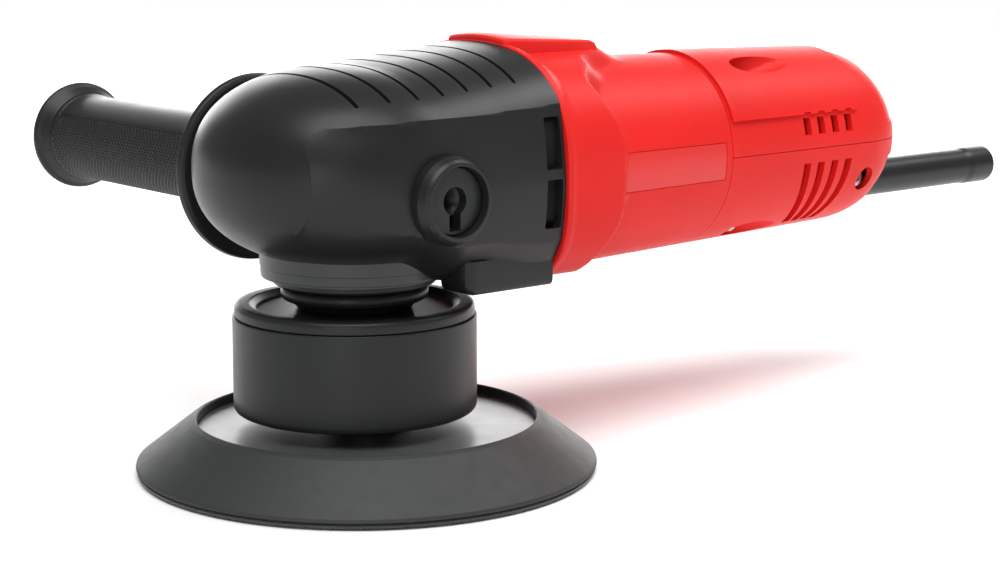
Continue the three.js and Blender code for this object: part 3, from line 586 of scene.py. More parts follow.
CHIN = {"x": 14.5, "half_width": 41.2, "z": (60.75, 72), "corner": 4, "edge": 2.6}
GROOVES = {"count": 7, "first": -23, "pitch": 10, "width": 1.7, "depth": 1.9, "ends": (45, 135)}
VENT = {"x": (42.6, 49.3), "z": ((80.6, 96.7), (99.9, 116.9)), "y": (38, 60), "corner": 0.9}
BOSS = {"base": 14.2, "radius": 13.2, "rim": 12.3, "recess": 10.9, "depth": 3}
KEY = {"radius": 4.5, "slot": 4.4, "drop": 9.4}
THREAD = {"start": 36, "turns": 9, "pitch": 1.25, "crest": 3.35, "root": 3.95, "outside": 4.9}
NECK_RADIUS = 31


def curve_share(share, power=COVER_POWER):
    """The other coordinate of a superellipse of unit radius."""
    return max(0, 1 - abs(share) ** power) ** (1 / power)


def line_between(x, stations):
    """Reads a value at x from (x, value) stations joined by straight lines."""
    for (x0, v0), (x1, v1) in zip(stations, stations[1:]):
        if x <= x1:
            return v0 + (v1 - v0) * (x - x0) / (x1 - x0)
    return stations[-1][1]


def hood_height(x, upper, inset=0):
    """Height of the hood's middle line over or under its widest level, as if the nose never closed."""
    return (line_between(x, RIDGE) if upper else smooth_between(x, BELLY)) - inset


def hood_width(x, height, limit, inset=0):
    """Half the hood's width at a height from its widest level."""
    radius = (line_between(x, HOOD_HALF_WIDTH) - inset) * curve_share(height / limit)
    return math.sqrt(max(0, radius**2 - min(x, 0) ** 2))


def hood_point(x, angle, inset=0):
    limit = hood_height(x, math.sin(angle) >= 0, inset)
    reach = limit * curve_share(min(x, 0) / (NOSE_RADIUS - inset))
    height = reach * abs(math.sin(angle)) ** (2 / COVER_POWER)
    width = hood_width(x, height, limit, inset)
    return (x, math.copysign(width, math.cos(angle)), COVER_MID_Z + math.copysign(height, math.sin(angle)))


def hood_form(name, end_x, inset=0, sides=256, steps=34):
    tip = inset - NOSE_RADIUS
    stations = [tip * math.cos(TAU / 4 * i / steps) for i in range(1, steps)] + spread(0, end_x, 30)
    angles = [TAU * (i + 0.5) / sides for i in range(sides)]
    rings = [[(tip, 0, COVER_MID_Z)]]
    rings += [[hood_point(x, angle, inset) for angle in angles] for x in stations]
    return loft(name, rings)


def cheek_top(x):
    return line_between(x, CHEEK_TOP)


def cheek_margins(x, z):
    """How far a point is behind a cheek's front edge and under its top edge.

    The two edges meet in a round corner.
    """
    corner = CHEEK_FRONT["corner"]
    behind, under = x - CHEEK_FRONT["x"], cheek_top(x) - z
    short = [corner - min(corner, margin) for margin in (under, behind)]
    trims = [corner - math.sqrt(max(0, corner**2 - min(corner, s) ** 2)) for s in short]
    return behind - trims[0], under - trims[1]


def cheek_wall(x, z):
    """Half the distance between the side panels' own surfaces, lost in the hood towards the tip."""
    middle = CHEEK["y"] - CHEEK["toe_in"] * max(0, CHEEK["toe_in_x"] - x) ** 2
    from_middle = z - CHEEK["mid_z"]
    if from_middle < 0:
        return middle - CHEEK["lean"] * from_middle**2
    top = cheek_top(x)
    edge = hood_width(x, top - COVER_MID_Z, hood_height(x, True))
    share = from_middle / (top - CHEEK["mid_z"])
    return middle - (middle - edge) * share ** CHEEK["shoulder_power"]


def fade_in(value, span):
    """0 before a span, 1 after it and a smooth step between."""
    low, high = span
    return smooth_between(value, [(low, 0), (high, 1)])


def cheek_y(x, z):
    """Half the hood's width with the side panels set in: a flat wall that runs out into the nose."""
    height = z - COVER_MID_Z
    hood = hood_width(x, height, hood_height(x, height > 0))
    behind, under = cheek_margins(x, z)
    if min(behind, under) < 0:
        return max(CHEEK_LEAST_Y, hood - 2 * min(behind, under))
    depth = CHEEK_FRONT["depth"] * fade_in(z, CHEEK_FRONT["depth_z"])
    run_in = (1 - math.exp(-CHEEK_RUN_IN["top"] * under)) * (1 - math.exp(-CHEEK_RUN_IN["front"] * behind))
    front = hood - depth * run_in
    wall = min(hood, cheek_wall(x, z))
    return max(CHEEK_LEAST_Y, front + (wall - front) * fade_in(x, CHEEK_FRONT["blend_x"]))


def cheek_form():
    xs = spread(-60, 62, 123)
    rings = []
    for z in spread(50, 150, 121):
        near = [(x, -cheek_y(x, z), z) for x in xs]
        far = [(x, cheek_y(x, z), z) for x in reversed(xs)]
        rings.append(near + far)
    return loft("cheeks", rings)


def chin_form():
    """The tray under the back of the cover, with a rounded front end."""
    rings = []
    low, high = CHIN["z"]
    corner, edge = CHIN["corner"], CHIN["edge"]
    for t in (0, 0.15, 0.35, 0.6, 0.85, 1):
        shrink = corner * (1 - math.sqrt(1 - (1 - t) ** 2))
        half = CHIN["half_width"] - shrink
        bottom = low + shrink
        outline = [(-half, bottom, edge), (half, bottom, edge), (half, high), (-half, high)]
        rings.append([(CHIN["x"] + corner * t, y, z) for y, z in rounded(outline, closed=True)])
    rings.append([(COVER_END_X, y, z) for _, y, z in rings[-1]])
    return loft("chin", rings)


def groove_tool(x):
    """A shallow round-bottomed groove over the ridge, running out into the shoulders."""
    half = GROOVES["width"] / 2
    rings = []
    start, end = (math.radians(degrees) for degrees in GROOVES["ends"])
    for angle in spread(start, end, 60):
        taper = min(1, math.sin(math.pi * (angle - start) / (end - start)) * 9)
        deep = GROOVES["depth"] * taper
        section = [(-half, -2), (half, -2), (half * 0.6, deep), (-half * 0.6, deep)]
        rings.append([hood_point(x + side, angle, inset) for side, inset in section])
    return loft("groove", rings)


def handle_lathe(name, profile, side=1, sides=160):
    """A profile of (radius, distance from the tool's middle plane) turned about the handle's axis."""
    return lathe(name, [(r, side * y) for r, y in profile], "y", HANDLE, sides)


def boss_form(side):
    shoulder = HANDLE_BOSS_Y - 3.6
    profile = rounded([
        (0, 40), (BOSS["base"], 40), (BOSS["base"], shoulder, 1.5),
        (BOSS["radius"], HANDLE_BOSS_Y - 1.2, 1), (BOSS["rim"], HANDLE_BOSS_Y, 0.6), (0, HANDLE_BOSS_Y),
    ])
    return handle_lathe("boss", profile, side)


def boss_recess(side):
    radius, floor, outside = BOSS["recess"], HANDLE_BOSS_Y - BOSS["depth"], HANDLE_BOSS_Y + 1
    profile = [(0, 30), (radius, 30), (radius, floor), (radius + 0.35, outside), (0, outside)]
    return handle_lathe("recess", profile, side)


def vent_tool(side, low, high):
    near, far = sorted((side * VENT["y"][0], side * VENT["y"][1]))
    front, back = VENT["x"]
    return rounded_box("vent", (front, near, low), (back, far, high), VENT["corner"])


def make_gear_cover():
    """A hood with flat cheeks, a chin and a boss each side, hollowed, grooved and vented."""
    cover = hood_form("cover_shell", COVER_END_X)
    common(cover, cheek_form())
    add(cover, chin_form(), boss_form(-1), boss_form(1))
    cut(cover, rounded_box("floor", (-70, -70, 30), (70, 70, CHIN["z"][0]), 0.1))
    inside = hood_form("inside", 60, COVER_WALL, sides=128, steps=18)
    inner_cheeks = rounded_box("inner_cheeks", (-70, -INNER_CHEEK_Y, 30), (70, INNER_CHEEK_Y, 160), 0.1)
    cut(cover, common(inside, inner_cheeks))
    neck_space = lathe("neck_space", [(0, 40), (NECK_RADIUS, 40), (NECK_RADIUS, 88), (0, 88)], sides=96)
    cut(cover, neck_space, boss_recess(-1), boss_recess(1))
    for i in range(GROOVES["count"]):
        cut(cover, groove_tool(GROOVES["first"] + GROOVES["pitch"] * i))
    for side in (-1, 1):
        cut(cover, *[vent_tool(side, low, high) for low, high in VENT["z"]])
    place(cover, "housing", "black_rubber", "gear_cover", sharp=COVER_SHARP_ANGLE)


def keyhole(side):
    """A round hole with a slot down from it, to sink into a boss."""
    x, _, z = HANDLE
    near, far = sorted((side * 44, side * 60))
    profile = [(0, near), (KEY["radius"], near), (KEY["radius"], far), (0, far)]
    hole = lathe("hole", profile, "y", HANDLE, sides=64)
    half = KEY["slot"] / 2
    return hole, rounded_box("slot", (x - half, near, z - KEY["drop"]), (x + half, far, z), 0.4)


def bushing_profile():
    """A sleeve whose bore is a row of thread ridges."""
    start, end = THREAD["start"], THREAD["start"] + THREAD["pitch"] * THREAD["turns"]
    ridges = []
    for i in range(THREAD["turns"]):
        y = start + THREAD["pitch"] * i
        ridges += [(THREAD["crest"], y), (THREAD["root"], y + 0.6)]
    return [(THREAD["outside"], start), *ridges, (THREAD["outside"], end)]


def make_boss_insert(side, node):
    radius, face = BOSS["recess"] - 0.15, HANDLE_BOSS_Y - BOSS["depth"] + 0.1
    profile = rounded([(0, 44.8), (radius, 44.8), (radius, face, 0.5), (0, face)])
    disc = handle_lathe(node + "_disc", profile, side)
    cut(disc, *keyhole(side))
    place(disc, "housing", "black_plastic", node)
    bushing = handle_lathe(node + "_bushing", bushing_profile(), side, sides=48)
    place(bushing, "housing", "black_plastic")


# ---- Neck, retainer and what turns below them ----
RETAINER_RADIUS = 26.8
SHAFT_RADIUS = 6.3
DRUM_Z = (19.8, 51.6)
LID_TOP_Z = 55.8


def make_neck():
    """A smooth skin over the gear case's neck, with the shoulder at its foot."""
    foot = NECK_RADIUS - 0.25
    profile = rounded([
        (30.52, 84), (NECK_RADIUS, 84, 0.2), (NECK_RADIUS, 68.6, 0.25), (foot, 68.4), (foot, 64.7, 1.6),
        (RETAINER_RADIUS, 64.7), (RETAINER_RADIUS, 64.85), (30.52, 64.85),
    ])
    neck = lathe("gear_case_neck", profile, sides=192)
    place(neck, "housing", "cast_aluminium", material=NECK_BLACK)


def make_retainer():
    profile = rounded([
        (10, 62.2), (14, 62.2), (14.4, 61.9), (25.4, 61.9, 0.6), (RETAINER_RADIUS, 62.6, 0.5),
        (RETAINER_RADIUS, 64.5, 0.3), (23.8, 64.5), (23.8, 66.2), (10, 66.2),
    ])
    ring = lathe("retainer_ring", profile)
    plastic = MATERIALS["black_plastic"]
    place(ring, "housing", "cast_aluminium", "bearing_retainer", material=plastic)


def make_spindle_collar():
    profile = rounded([
        (SHAFT_RADIUS, 54.2), (19, 54.2, 1), (20.6, 56.4, 1), (24.3, 57.2, 2.2), (24.3, 61.4, 2.2),
        (15, 61.4, 0.6), (14.4, 60.8, 0.4), (SHAFT_RADIUS, 60.8),
    ])
    collar = lathe("collar_ring", profile)
    place(collar, "rotor", "black_plastic", "spindle_collar")


def make_drum_lid():
    rim = DRUM_RADIUS - 0.7
    profile = rounded([
        (SHAFT_RADIUS, 46.3), (24, 46.3), (24, 51.9), (rim, 51.9, 0.2), (rim, LID_TOP_Z, 2.6),
        (34.6, LID_TOP_Z, 1.6), (32.4, 53.9, 1.2), (SHAFT_RADIUS, 53.7),
    ])
    lid = lathe("lid_cap", profile)
    place(lid, "rotor", "black_plastic", "drum_lid")


def make_drum():
    low, high = DRUM_Z
    profile = rounded([
        (26, low), (35.6, low, 0.5), (DRUM_RADIUS, low, 3.4), (DRUM_RADIUS, high, 0.5),
        (38, high), (38, 22), (26, 22),
    ], steps=8)
    drum = lathe("drum_shell", profile, sides=192)
    place(drum, "rotor", "black_plastic", "counterweight_drum")


# ---- Pad ----
def make_pad():
    floor = 11.3
    profile = rounded([
        (0, 1.5), (PAD_RADIUS - 1.4, 1.5, 0.5), (PAD_RADIUS, 2.3, 0.5), (PAD_RADIUS - 0.2, 3.4, 0.8),
        (PAD_TOP_RADIUS + 1.6, 17.0, 1.2), (PAD_TOP_RADIUS - 0.3, 17.9, 1.0), (56.1, 17.4, 0.5),
        (56.0, floor), (12.3, floor), (12.3, floor - 3), (0, floor - 3),
    ], steps=8)
    foam = lathe("foam_cone", profile, at=PAD_CENTRE, sides=224)
    place(foam, "pad", "foam", "foam_pad")


def make_backing_plate():
    rim, hub_top = 55.85, 16.6
    profile = rounded([
        (4.3, 11.6), (rim, 11.6), (rim, PLATE_TOP_Z, 0.5), (15.4, PLATE_TOP_Z, 0.8),
        (13.6, hub_top, 0.6), (4.3, hub_top),
    ])
    plate = lathe("plate_disc", profile, at=PAD_CENTRE, sides=192)
    place(plate, "pad", "grey_plate", "backing_plate")


# A hook's stages are (radius, height) from its foot in the fabric down to its flat head.
HOOK = {"pitch": 3.6, "row_pitch": 3.6 * 0.866, "sides": 6}
HOOK_STAGES = [(0.32, 0.6), (0.28, 0.3), (0.75, 0.22), (0.6, 0.0)]


def hook_places(radius):
    """Centres of the hooks inside a radius, in staggered rows."""
    rows = int(radius / HOOK["row_pitch"])
    places = []
    for row in range(-rows, rows + 1):
        shift = HOOK["pitch"] / 2 * (row % 2)
        for column in range(-rows - 4, rows + 5):
            u, v = column * HOOK["pitch"] + shift, row * HOOK["row_pitch"]
            if math.hypot(u, v) <= radius - 1.2:
                places.append((PAD_CENTRE[0] + u, PAD_CENTRE[1] + v, 0))
    return places


def hook_mesh(centre, start):
    """The points and faces of one mushroom hook whose points are numbered from start."""
    sides, last = HOOK["sides"], len(HOOK_STAGES) - 1
    points = []
    for radius, z in HOOK_STAGES:
        points += [turned_point("z", centre, radius, z, TAU * k / sides) for k in range(sides)]
    faces = [[start + stage * sides + k for k in range(sides)] for stage in (0, last)]
    for stage in range(last):
        ring = start + stage * sides
        for k in range(sides):
            a, b = ring + k, ring + (k + 1) % sides
            faces.append((a, b, b + sides, a + sides))
    return points, faces


def make_hook_face():
    """A thin fabric disc with a field of small mushroom hooks under it."""
    radius = PAD_RADIUS - 0.4
    profile = rounded([(0, 0.55), (radius, 0.55, 0.2), (radius, 1.2, 0.2), (0, 1.2)])
    disc = lathe("hook_disc", profile, at=PAD_CENTRE)
    points, faces = [], []
    for centre in hook_places(radius):
        hook_points, hook_faces = hook_mesh(centre, len(points))
        points += hook_points
        faces += hook_faces
    hooks = make_object("hook_field", points, faces)
    place(disc, "pad", "hook_fabric", "hook_face")
    place(hooks, "pad", "hook_fabric")


# ---- Side handle ----
GRIP = {"radius": 15.7, "low": 67, "high": 176, "bore": 4.3, "sides": 352, "steps": 330}
GRIP_FLARE = {"height": 0.9, "share": [(67, 1), (70, 0), (168, 0), (176, 1)]}
KNURL = {"around": 44, "along": 50, "height": 0.55, "low": 69.5, "high": 175}
PANEL = {"half_angle": 52, "low": 71.5, "high": 173.5, "rise": 0.25}
BORDER = {"width": 0.7, "depth": 0.35}


def make_guard():
    """A wide thin flange that tapers to the grip's root."""
    profile = rounded([
        (GRIP["bore"], 53.8), (12.5, 53.8, 0.6), (13.4, 55.4, 1), (27, 57.0, 2), (30.6, 56.6, 1.4),
        (32.1, 57.4, 0.9), (32.5, 59.4, 0.9), (31.6, 60.9, 1), (27, 61.4, 3), (19.5, 62.6, 4),
        (16.6, 65.6, 2), (16.4, 66.7), (GRIP["bore"], 66.7),
    ], steps=8)
    guard = handle_lathe("guard_disc", profile, sides=192)
    place(guard, "housing", "black_plastic", "handle_guard")


def grip_relief(angle, y):
    """Height of the grip's surface over its plain radius: diamonds, a border line and a flat panel."""
    from_top = abs(math.degrees(angle) - 90)
    from_top = min(from_top, 360 - from_top)
    edge_y = max(PANEL["low"] - y, y - PANEL["high"])
    edge = max((from_top - PANEL["half_angle"]) * GRIP["radius"] * TAU / 360, edge_y)
    if edge < 0:
        return PANEL["rise"] * min(1, -edge / 0.6)
    u = angle / TAU * KNURL["around"]
    v = (y - GRIP["low"]) / (GRIP["high"] - GRIP["low"]) * KNURL["along"]
    ridge = abs(math.sin(math.pi * (u + v))) * abs(math.sin(math.pi * (u - v)))
    from_end = max(0, min(y - KNURL["low"], KNURL["high"] - y))
    fade = min(1, max(0, edge - 0.9) / 0.8) * min(1, from_end)
    line = BORDER["depth"] if edge < BORDER["width"] else 0
    return KNURL["height"] * (ridge - 0.35) * fade - line


def make_grip():
    angles = [TAU * i / GRIP["sides"] for i in range(GRIP["sides"])]
    rings = []
    for y in spread(GRIP["low"], GRIP["high"], GRIP["steps"]):
        plain = GRIP["radius"] - 0.2 + GRIP_FLARE["height"] * smooth_between(y, GRIP_FLARE["share"])
        rings.append([turned_point("y", HANDLE, plain + grip_relief(a, y), y, a) for a in angles])
    for y in (GRIP["high"], GRIP["low"]):
        rings.append([turned_point("y", HANDLE, GRIP["bore"], y, a) for a in angles])
    grip = loft("grip_sleeve", rings, looped=True)
    place(grip, "housing", "black_rubber", "handle_grip")


def make_end_cap():
    low = GRIP["high"] + 0.25
    profile = rounded([
        (0, low), (16.4, low), (17.0, low + 0.8, 1), (18.6, low + 3.0, 2), (20.2, low + 4.4, 1.6),
        (20.2, low + 6.6, 1.8), (17.6, low + 7.6, 1.6), (10, low + 9.0, 6), (0, low + 9.7),
    ], steps=8)
    cap = handle_lathe("end_cap", profile)
    place(cap, "housing", "black_plastic", "handle_end_cap")


# ---- Motor housing ----
COLLAR = {"half_width": 48.3, "drop": 36, "power": 2.6, "power_below": 3.2, "blend": 15}
COLLAR_RISE = [(53, 43.2), (58, 40.4)]
# Where the collar ends along the motor, at angles in degrees up from the side.
COLLAR_END = [
    (-90, 90), (-65, 76), (-38, 68.5), (-12, 75.6), (12, 76), (41, 69.5), (58, 78), (75, 96), (90, 99),
]
LIP = {"height": 0.6, "share": [(53.0, 1), (54.2, 0)], "bevel": 0.7, "bevel_x": 51.4}
TOP_BLOCK = {"x": (51.2, 94), "half": 15.6, "top": 141.2, "base": 128, "edge": 1.6, "crown": 0.0055}
MOTOR_BORE = 33.2
LABEL = {"x": (87.4, 137), "z": (87.2, 101), "depth": 0.45, "gap": 0.25}


def barrel_radius(x):
    return BARREL_RADIUS - BARREL_TAPER * (x - BARREL_X)


def collar_radius(x, angle):
    """Distance from the motor's axis to the collar's surface, from superellipses."""
    above = math.sin(angle) > 0
    power = COLLAR["power"] if above else COLLAR["power_below"]
    height = smooth_between(x, COLLAR_RISE) if above else COLLAR["drop"]
    across, up = abs(math.cos(angle)) / COLLAR["half_width"], abs(math.sin(angle)) / height
    return (across**power + up**power) ** (-1 / power)


def housing_radius(x, angle):
    """The collar at the front, drawn down into the barrel behind it."""
    side_angle = math.degrees(math.asin(math.sin(angle)))
    end = smooth_between(side_angle, COLLAR_END)
    t = min(1, max(0, (x - end) / COLLAR["blend"]))
    share = (1 - t) ** 2 * (1 + 0.7 * t)
    lip = LIP["height"] * smooth_between(x, LIP["share"]) - LIP["bevel"] * max(0, LIP["bevel_x"] - x)
    plain = barrel_radius(x)
    return plain + (collar_radius(x, angle) + lip - plain) * share


def motor_ring(x, radius_at, sides=256):
    angles = [TAU * i / sides for i in range(sides)]
    return [turned_point("x", MOTOR_AXIS, radius_at(x, angle), x, angle) for angle in angles]


def top_block_ring(x, drop):
    """A section of the top block, lowered and narrowed by a drop near its ends."""
    front, back = TOP_BLOCK["x"]
    t = (x - front) / (back - front)
    half = TOP_BLOCK["half"] - 0.6 * t - 0.3 * drop
    top = TOP_BLOCK["top"] - 3.6 * t - 0.6 * drop
    crown = TOP_BLOCK["crown"] * (1 - t)
    base, side, edge = TOP_BLOCK["base"], top - crown * half**2, TOP_BLOCK["edge"]
    inner = [(y, top - crown * y * y) for y in spread(half * 0.8, -half * 0.8, 9)]
    outline = rounded([(half, base), (half, side, edge), *inner, (-half, side, edge), (-half, base)])
    return [(x, y, z) for y, z in outline]


def top_block():
    """The raised pad on the collar's top: crowned at the front and flat at the back."""
    front, back = TOP_BLOCK["x"]
    rounding = [(0, 2.4), (0.6, 1.1), (1.8, 0.4), (4, 0)]
    stations = [(front + d, drop) for d, drop in rounding] + [(x, 0) for x in spread(70, 86, 6)]
    stations += [(back - d, drop * 2.4) for d, drop in reversed(rounding)]
    return loft("top_block", [top_block_ring(x, drop) for x, drop in stations])


def shell_patch(name, xs, degrees, inner, outer):
    """A curved patch about the motor's axis, whose angles run from the near side upwards."""
    angles = [math.radians(180 - d) for d in spread(*degrees, 24)]
    rings = []
    for x in spread(*xs, 12):
        ring = []
        for offset, turns in ((inner, angles), (outer, reversed(angles))):
            radius = barrel_radius(x) + offset
            ring += [turned_point("x", MOTOR_AXIS, radius, x, a) for a in turns]
        rings.append(ring)
    return loft(name, rings)


def label_angles(z_shift):
    low, high = LABEL["z"]
    return [math.degrees(math.asin((z - MOTOR_Z) / BARREL_RADIUS)) for z in (low + z_shift, high - z_shift)]


def make_label_plate():
    """A blank plate sunk in the barrel's side."""
    (front, back), gap = LABEL["x"], LABEL["gap"]
    xs = (front + gap, back - gap)
    plate = shell_patch("label_plate", xs, label_angles(gap), -0.44, -0.08)
    place(plate, "housing", "red_housing", material=LABEL_RED)


def make_motor_housing():
    front, back = HOUSING_X
    stations = [front, 51.4, 52.2, 53.0, 53.8, 54.6, 56] + spread(57, 110, 66)[1:] + spread(112, back, 16)
    rings = [motor_ring(x, housing_radius) for x in stations]
    housing = loft("motor_shell", rings)
    add(housing, top_block())
    inside, outside = front + 3, back + 10.25
    bore = [(0, inside), (MOTOR_BORE, inside), (MOTOR_BORE, outside), (0, outside)]
    hollow = lathe("hollow", bore, "x", MOTOR_AXIS, sides=96)
    opening = lathe("opening", [(0, 40), (22, 40), (22, 60), (0, 60)], "x", MOTOR_AXIS, sides=64)
    cut(housing, hollow, opening)
    cut(housing, shell_patch("label_space", LABEL["x"], label_angles(0), -LABEL["depth"], 3))
    place(housing, "housing", "red_housing", "motor_housing")
    make_label_plate()


# ---- Tail ----
TAIL_SIDES = 224
TAIL_WALL = 2.6
TAIL_DOME_POWER = 2.3
SEAM_HALF = 0.12
TOP_PANEL = {"edge_z": 107.8, "rise": 1.25, "x": (TAIL_X + 1.2, 214.5)}
SHORT_VENTS = {"x": 178.6, "pitch": 7.6, "width": 3.8, "z": (100, 106.3), "notch_z": (107.3, 108.5)}
LONG_VENTS = {"foot_x": 186.8, "foot_pitch": 4.7, "from_turn": 189, "sweep": 52}
SCREW_TURNS = (60, 120, 240, 300)
SCREW_REACH = 30.8
SCREW_HEAD_X = 156.3
SCREW = {"shank": 1.9, "head": 3.5, "head_height": 2.4, "socket": 1.9}
SCREW_LUG = {"radius": 7, "length": 46}
SCREW_POCKET = {"radius": 5.2, "slope": 0.36, "length": 34}
SIDE_SCREW = {"x": 216, "y": -23.4, "z": 80.8, "hole": 4.5, "length": 10}
DIAL_SLOT = ((177, 20, 98.4), (203, 60, 104.8))
SWITCH_SLOT = ((163, 20, 82), (187, 60, 89))


def tail_ring(x, offset, share=1):
    return motor_ring(x, lambda x_, _: (barrel_radius(x_) + offset) * share, TAIL_SIDES)


def tail_form(name, offset=0, from_x=TAIL_X, steps=18):
    """The tail's outer form, swelled by an offset, up to the tip of its dome."""
    rings = [tail_ring(x, offset) for x in spread(from_x, TAIL_DOME_X, 24)]
    dome_length = TAIL_END_X + offset - TAIL_DOME_X
    power = 2 / TAIL_DOME_POWER
    for i in range(1, steps):
        turn = TAU / 4 * i / steps
        x = TAIL_DOME_X + dome_length * math.sin(turn) ** power
        rings.append(tail_ring(x, offset, math.cos(turn) ** power))
    rings.append([(TAIL_END_X + offset, 0, MOTOR_Z)])
    return loft(name, rings)


def screw_place(degrees):
    turn = math.radians(degrees)
    return SCREW_REACH * math.cos(turn), MOTOR_Z + SCREW_REACH * math.sin(turn)


def screw_pocket(degrees):
    """A bore that starts round a tail screw's head and runs out through the surface behind it."""
    y, z = screw_place(degrees)
    outwards = Vector((0, y, z - MOTOR_Z)).normalized()
    direction = Vector((1, 0, 0)) + outwards * SCREW_POCKET["slope"]
    start = Vector((SCREW_HEAD_X - 0.4, y, z)) - outwards * 0.2
    return bored("pocket", start, direction, SCREW_POCKET["radius"], SCREW_POCKET["length"])


def screw_lug(degrees):
    """The solid round a tail screw, kept inside the tail's surface."""
    foot = (TAIL_X, *screw_place(degrees))
    lug = bored("lug", foot, (1, 0, 0), SCREW_LUG["radius"], SCREW_LUG["length"])
    return common(lug, tail_form("within", -0.3, steps=8))


def long_vent(index):
    """A slot that follows the barrel down from its middle while its foot drifts forward or back."""
    half = SHORT_VENTS["width"] / 2
    top_x = SHORT_VENTS["x"] + SHORT_VENTS["pitch"] * index + half
    foot_x = LONG_VENTS["foot_x"] + LONG_VENTS["foot_pitch"] * index
    rings = []
    for t in spread(0, 1, 24):
        angle = math.radians(LONG_VENTS["from_turn"] + LONG_VENTS["sweep"] * t)
        centre = top_x + (foot_x - top_x) * t**1.6
        corners = [(centre - half, 28), (centre + half, 28), (centre + half, 42), (centre - half, 42)]
        rings.append([turned_point("x", MOTOR_AXIS, r, x, angle) for x, r in corners])
    return loft("long_vent", rings)


def short_vent(index, z=SHORT_VENTS["z"], inner_y=-14):
    x = SHORT_VENTS["x"] + SHORT_VENTS["pitch"] * index
    return rounded_box("short_vent", (x, -60, z[0]), (x + SHORT_VENTS["width"], inner_y, z[1]), 0.3)


def dome_patch(low, high):
    """A shallow recess in the dome's end, above or below its middle band."""
    patch = tail_form("patch", 2)
    cut(patch, tail_form("patch_core", -0.55, TAIL_X - 5))
    return common(patch, rounded_box("patch_box", (227, -50, low), (260, 50, high), 0.1))


def make_tail_half(name, node, is_upper, extra_cuts):
    half = tail_form(name)
    low, high = (MOTOR_Z + SEAM_HALF, 200) if is_upper else (-10, MOTOR_Z - SEAM_HALF)
    turns = [degrees for degrees in SCREW_TURNS if (degrees < 180) == is_upper]
    cut(half, tail_form("inside", -TAIL_WALL, TAIL_X - 5, steps=10))
    add(half, *[screw_lug(degrees) for degrees in turns])
    common(half, rounded_box("half", (130, -60, low), (280, 60, high), 0.1))
    cut(half, *extra_cuts, *[screw_pocket(degrees) for degrees in turns])
    place(half, "housing", "red_housing", node)


def make_tail():
    relief_hole = bored("relief_hole", (222, 0, RELIEF_Z), (1, 0, 0), 7.5, 40)
    side_at, side_length = (SIDE_SCREW["x"], -60, SIDE_SCREW["z"]), 60.2 + SIDE_SCREW["y"]
    side_hole = bored("side_hole", side_at, (0, 1, 0), SIDE_SCREW["hole"], side_length)
    upper_cuts = [short_vent(i) for i in range(4)]
    upper_cuts += [rounded_box("dial_slot", *DIAL_SLOT, 1), dome_patch(101.5, 160)]
    lower_cuts = [long_vent(i) for i in range(4)]
    lower_cuts += [rounded_box("switch_slot", *SWITCH_SLOT, 1.5), dome_patch(20, 88.5)]
    lower_cuts += [relief_hole, side_hole]
    make_tail_half("tail_upper_shell", "tail_cover_upper", True, upper_cuts)
    make_tail_half("tail_lower_shell", "tail_cover_lower", False, lower_cuts)
    make_top_panel()
    make_vent_baffle()


def make_top_panel():
    """A thin raised panel over the tail's top, notched above the short vents."""
    low, (front, back) = TOP_PANEL["edge_z"], TOP_PANEL["x"]
    panel = tail_form("top_panel", TOP_PANEL["rise"], front)
    cut(panel, tail_form("under", 0.05, TAIL_X - 5))
    outline = rounded([(120, low), (back - 6, low, 1.5), (back, 117, 8), (back, 160), (120, 160)])
    common(panel, prism("panel_area", outline, "y", -60, 60))
    cut(panel, *[screw_pocket(degrees) for degrees in SCREW_TURNS if degrees < 180])
    cut(panel, *[short_vent(i, SHORT_VENTS["notch_z"], -20) for i in range(4)])
    place(panel, "housing", "red_housing", "tail_top_panel")


def make_vent_baffle():
    """The dark red inner wall that shows through the near side's vents."""
    baffle = shell_patch("vent_baffle", (175, 211), (-66, 24), -4.6, -3.9)
    place(baffle, "housing", "red_housing")


def make_strain_relief():
    """A sleeve with a collar inside the tail and a thicker lip at its end."""
    end, lip, bore = RELIEF_END_X, 7.4, 4
    profile = rounded([
        (bore, 221), (8.7, 221), (8.7, 224), (7.1, 224.2), (7.15, 246), (7.0, end - 17, 2),
        (lip, end - 14, 2), (lip, end - 1.6, 1.6), (5.4, end, 1), (bore, end),
    ])
    relief = lathe("relief_sleeve", profile, "x", (0, 0, RELIEF_Z), 96)
    place(relief, "housing", "black_rubber", "strain_relief")


def make_screw(name, node, at, direction, length):
    """A cap screw with a hexagon socket. Its head stands on `at` and its shank runs the other way."""
    shank, head, top = SCREW["shank"], SCREW["head"], SCREW["head_height"]
    profile = [(0, -length), (shank, -length), (shank, 0), (head, 0, 0.2), (head, top, 0.5), (0, top)]
    screw = lathe(name, rounded(profile), sides=64)
    socket = [(0, 1), (SCREW["socket"], 1), (SCREW["socket"], 4), (0, 4)]
    cut(screw, lathe("socket", socket, sides=6))
    aim(screw, at, direction)
    place(screw, "housing", "steel", node)


def make_screws():
    for i, degrees in enumerate(SCREW_TURNS, 1):
        at = (SCREW_HEAD_X, *screw_place(degrees))
        make_screw(f"tail_bolt_{i}", f"tail_screw_{i}", at, (1, 0, 0), 22)
    at = [SIDE_SCREW[axis] for axis in "xyz"]
    make_screw("side_bolt", "tail_side_screw", at, (0, -1, 0), SIDE_SCREW["length"])


# ---- Controls on the far side ----
DIAL = {"at": (190, 24.2, 0), "low": 98.95, "radius": 11.4, "bore": 2.3, "teeth": 36, "tooth": 0.45}
SWITCH_X = 179


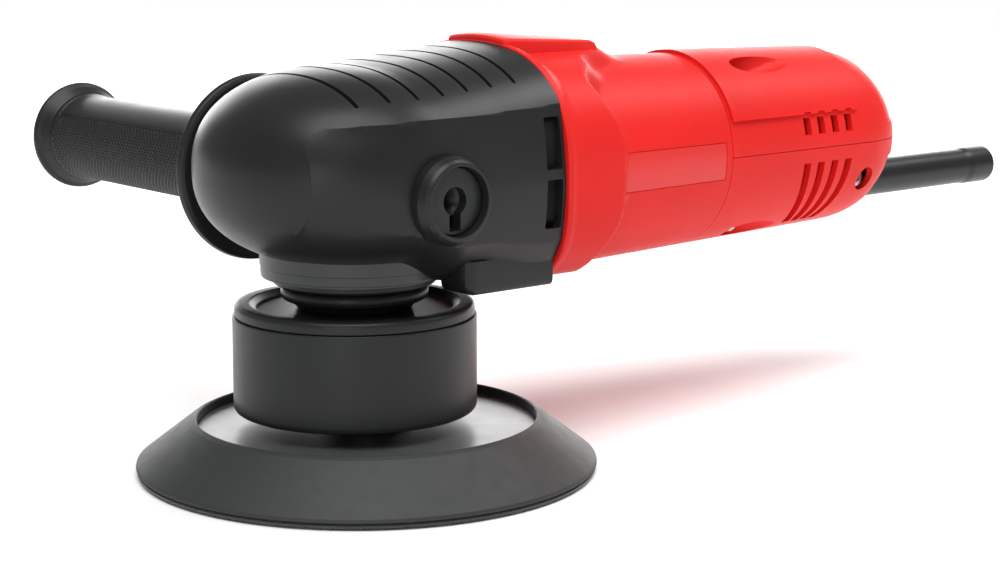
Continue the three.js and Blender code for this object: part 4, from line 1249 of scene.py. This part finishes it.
def dial_ring(shrink, rise):
    """A section of the dial's wheel with a row of small rounded teeth."""
    ring = []
    steps = DIAL["teeth"] * 6
    for i in range(steps):
        angle = TAU * i / steps
        tooth = DIAL["tooth"] * max(0, math.cos(angle * DIAL["teeth"])) ** 0.7
        radius = DIAL["radius"] - 0.5 + tooth - shrink
        ring.append(turned_point("z", DIAL["at"], radius, DIAL["low"] + rise, angle))
    return ring


def make_dial():
    rings = [dial_ring(*stage) for stage in ((0.6, 0), (0, 0.6), (0, 4.7), (0.6, 5.3))]
    wheel = loft("dial_wheel", rings)
    x, y, _ = DIAL["at"]
    cut(wheel, bored("bore", (x, y, 90), (0, 0, 1), DIAL["bore"], 30))
    place(wheel, "dial", "black_plastic", "speed_dial")


def make_switch_button():
    """A slider with a ribbed face and a stem through its slot."""
    x = SWITCH_X
    low, high = (x - 7, 31.2, 82.6), (x + 7, 36.2, 88.4)
    slider = rounded_box("switch_slider", low, high, 1.2)
    add(slider, rounded_box("stem", (x - 4, 22, 83.4), (x + 4, 32, 87.6), 0.6))
    for step in spread(x - 5, x + 5, 6):
        add(slider, rounded_box("rib", (step - 0.5, 35, 83.2), (step + 0.5, 37.2, 87.8), 0.45, "z"))
    place(slider, "switch_button", "black_plastic", "power_switch")


# ---- Scene ----
def make_floor():
    n = Nodes("floor_paint")
    darkest, palest = ((FLOOR[key],) * 3 for key in ("darkest", "palest"))
    tint = n.ramp(n.noise(3, 2), [(0.3, darkest), (0.7, palest)])
    paint = n.set(Base_Color=tint, Roughness=0.9, Specular_IOR_Level=0.1)
    half, z = FLOOR["half_side"], FLOOR["z"]
    corners = [(-half, -half, z), (half, -half, z), (half, half, z), (-half, half, z)]
    floor = make_object("floor", corners, [(0, 1, 2, 3)])
    floor.data.materials.append(paint)


make_camera()
make_world()
sun_light("sun", **SUN)
for softbox in SOFTBOXES:
    area_light(*softbox)
make_floor()
dress_cad_nodes()

make_gear_cover()
make_boss_insert(-1, "boss_insert_near")
make_boss_insert(1, "boss_insert_far")
make_neck()
make_retainer()
make_spindle_collar()
make_drum_lid()
make_drum()
make_pad()
make_backing_plate()
make_hook_face()
make_guard()
make_grip()
make_end_cap()
make_motor_housing()
make_tail()
make_strain_relief()
make_screws()
make_dial()
make_switch_button()
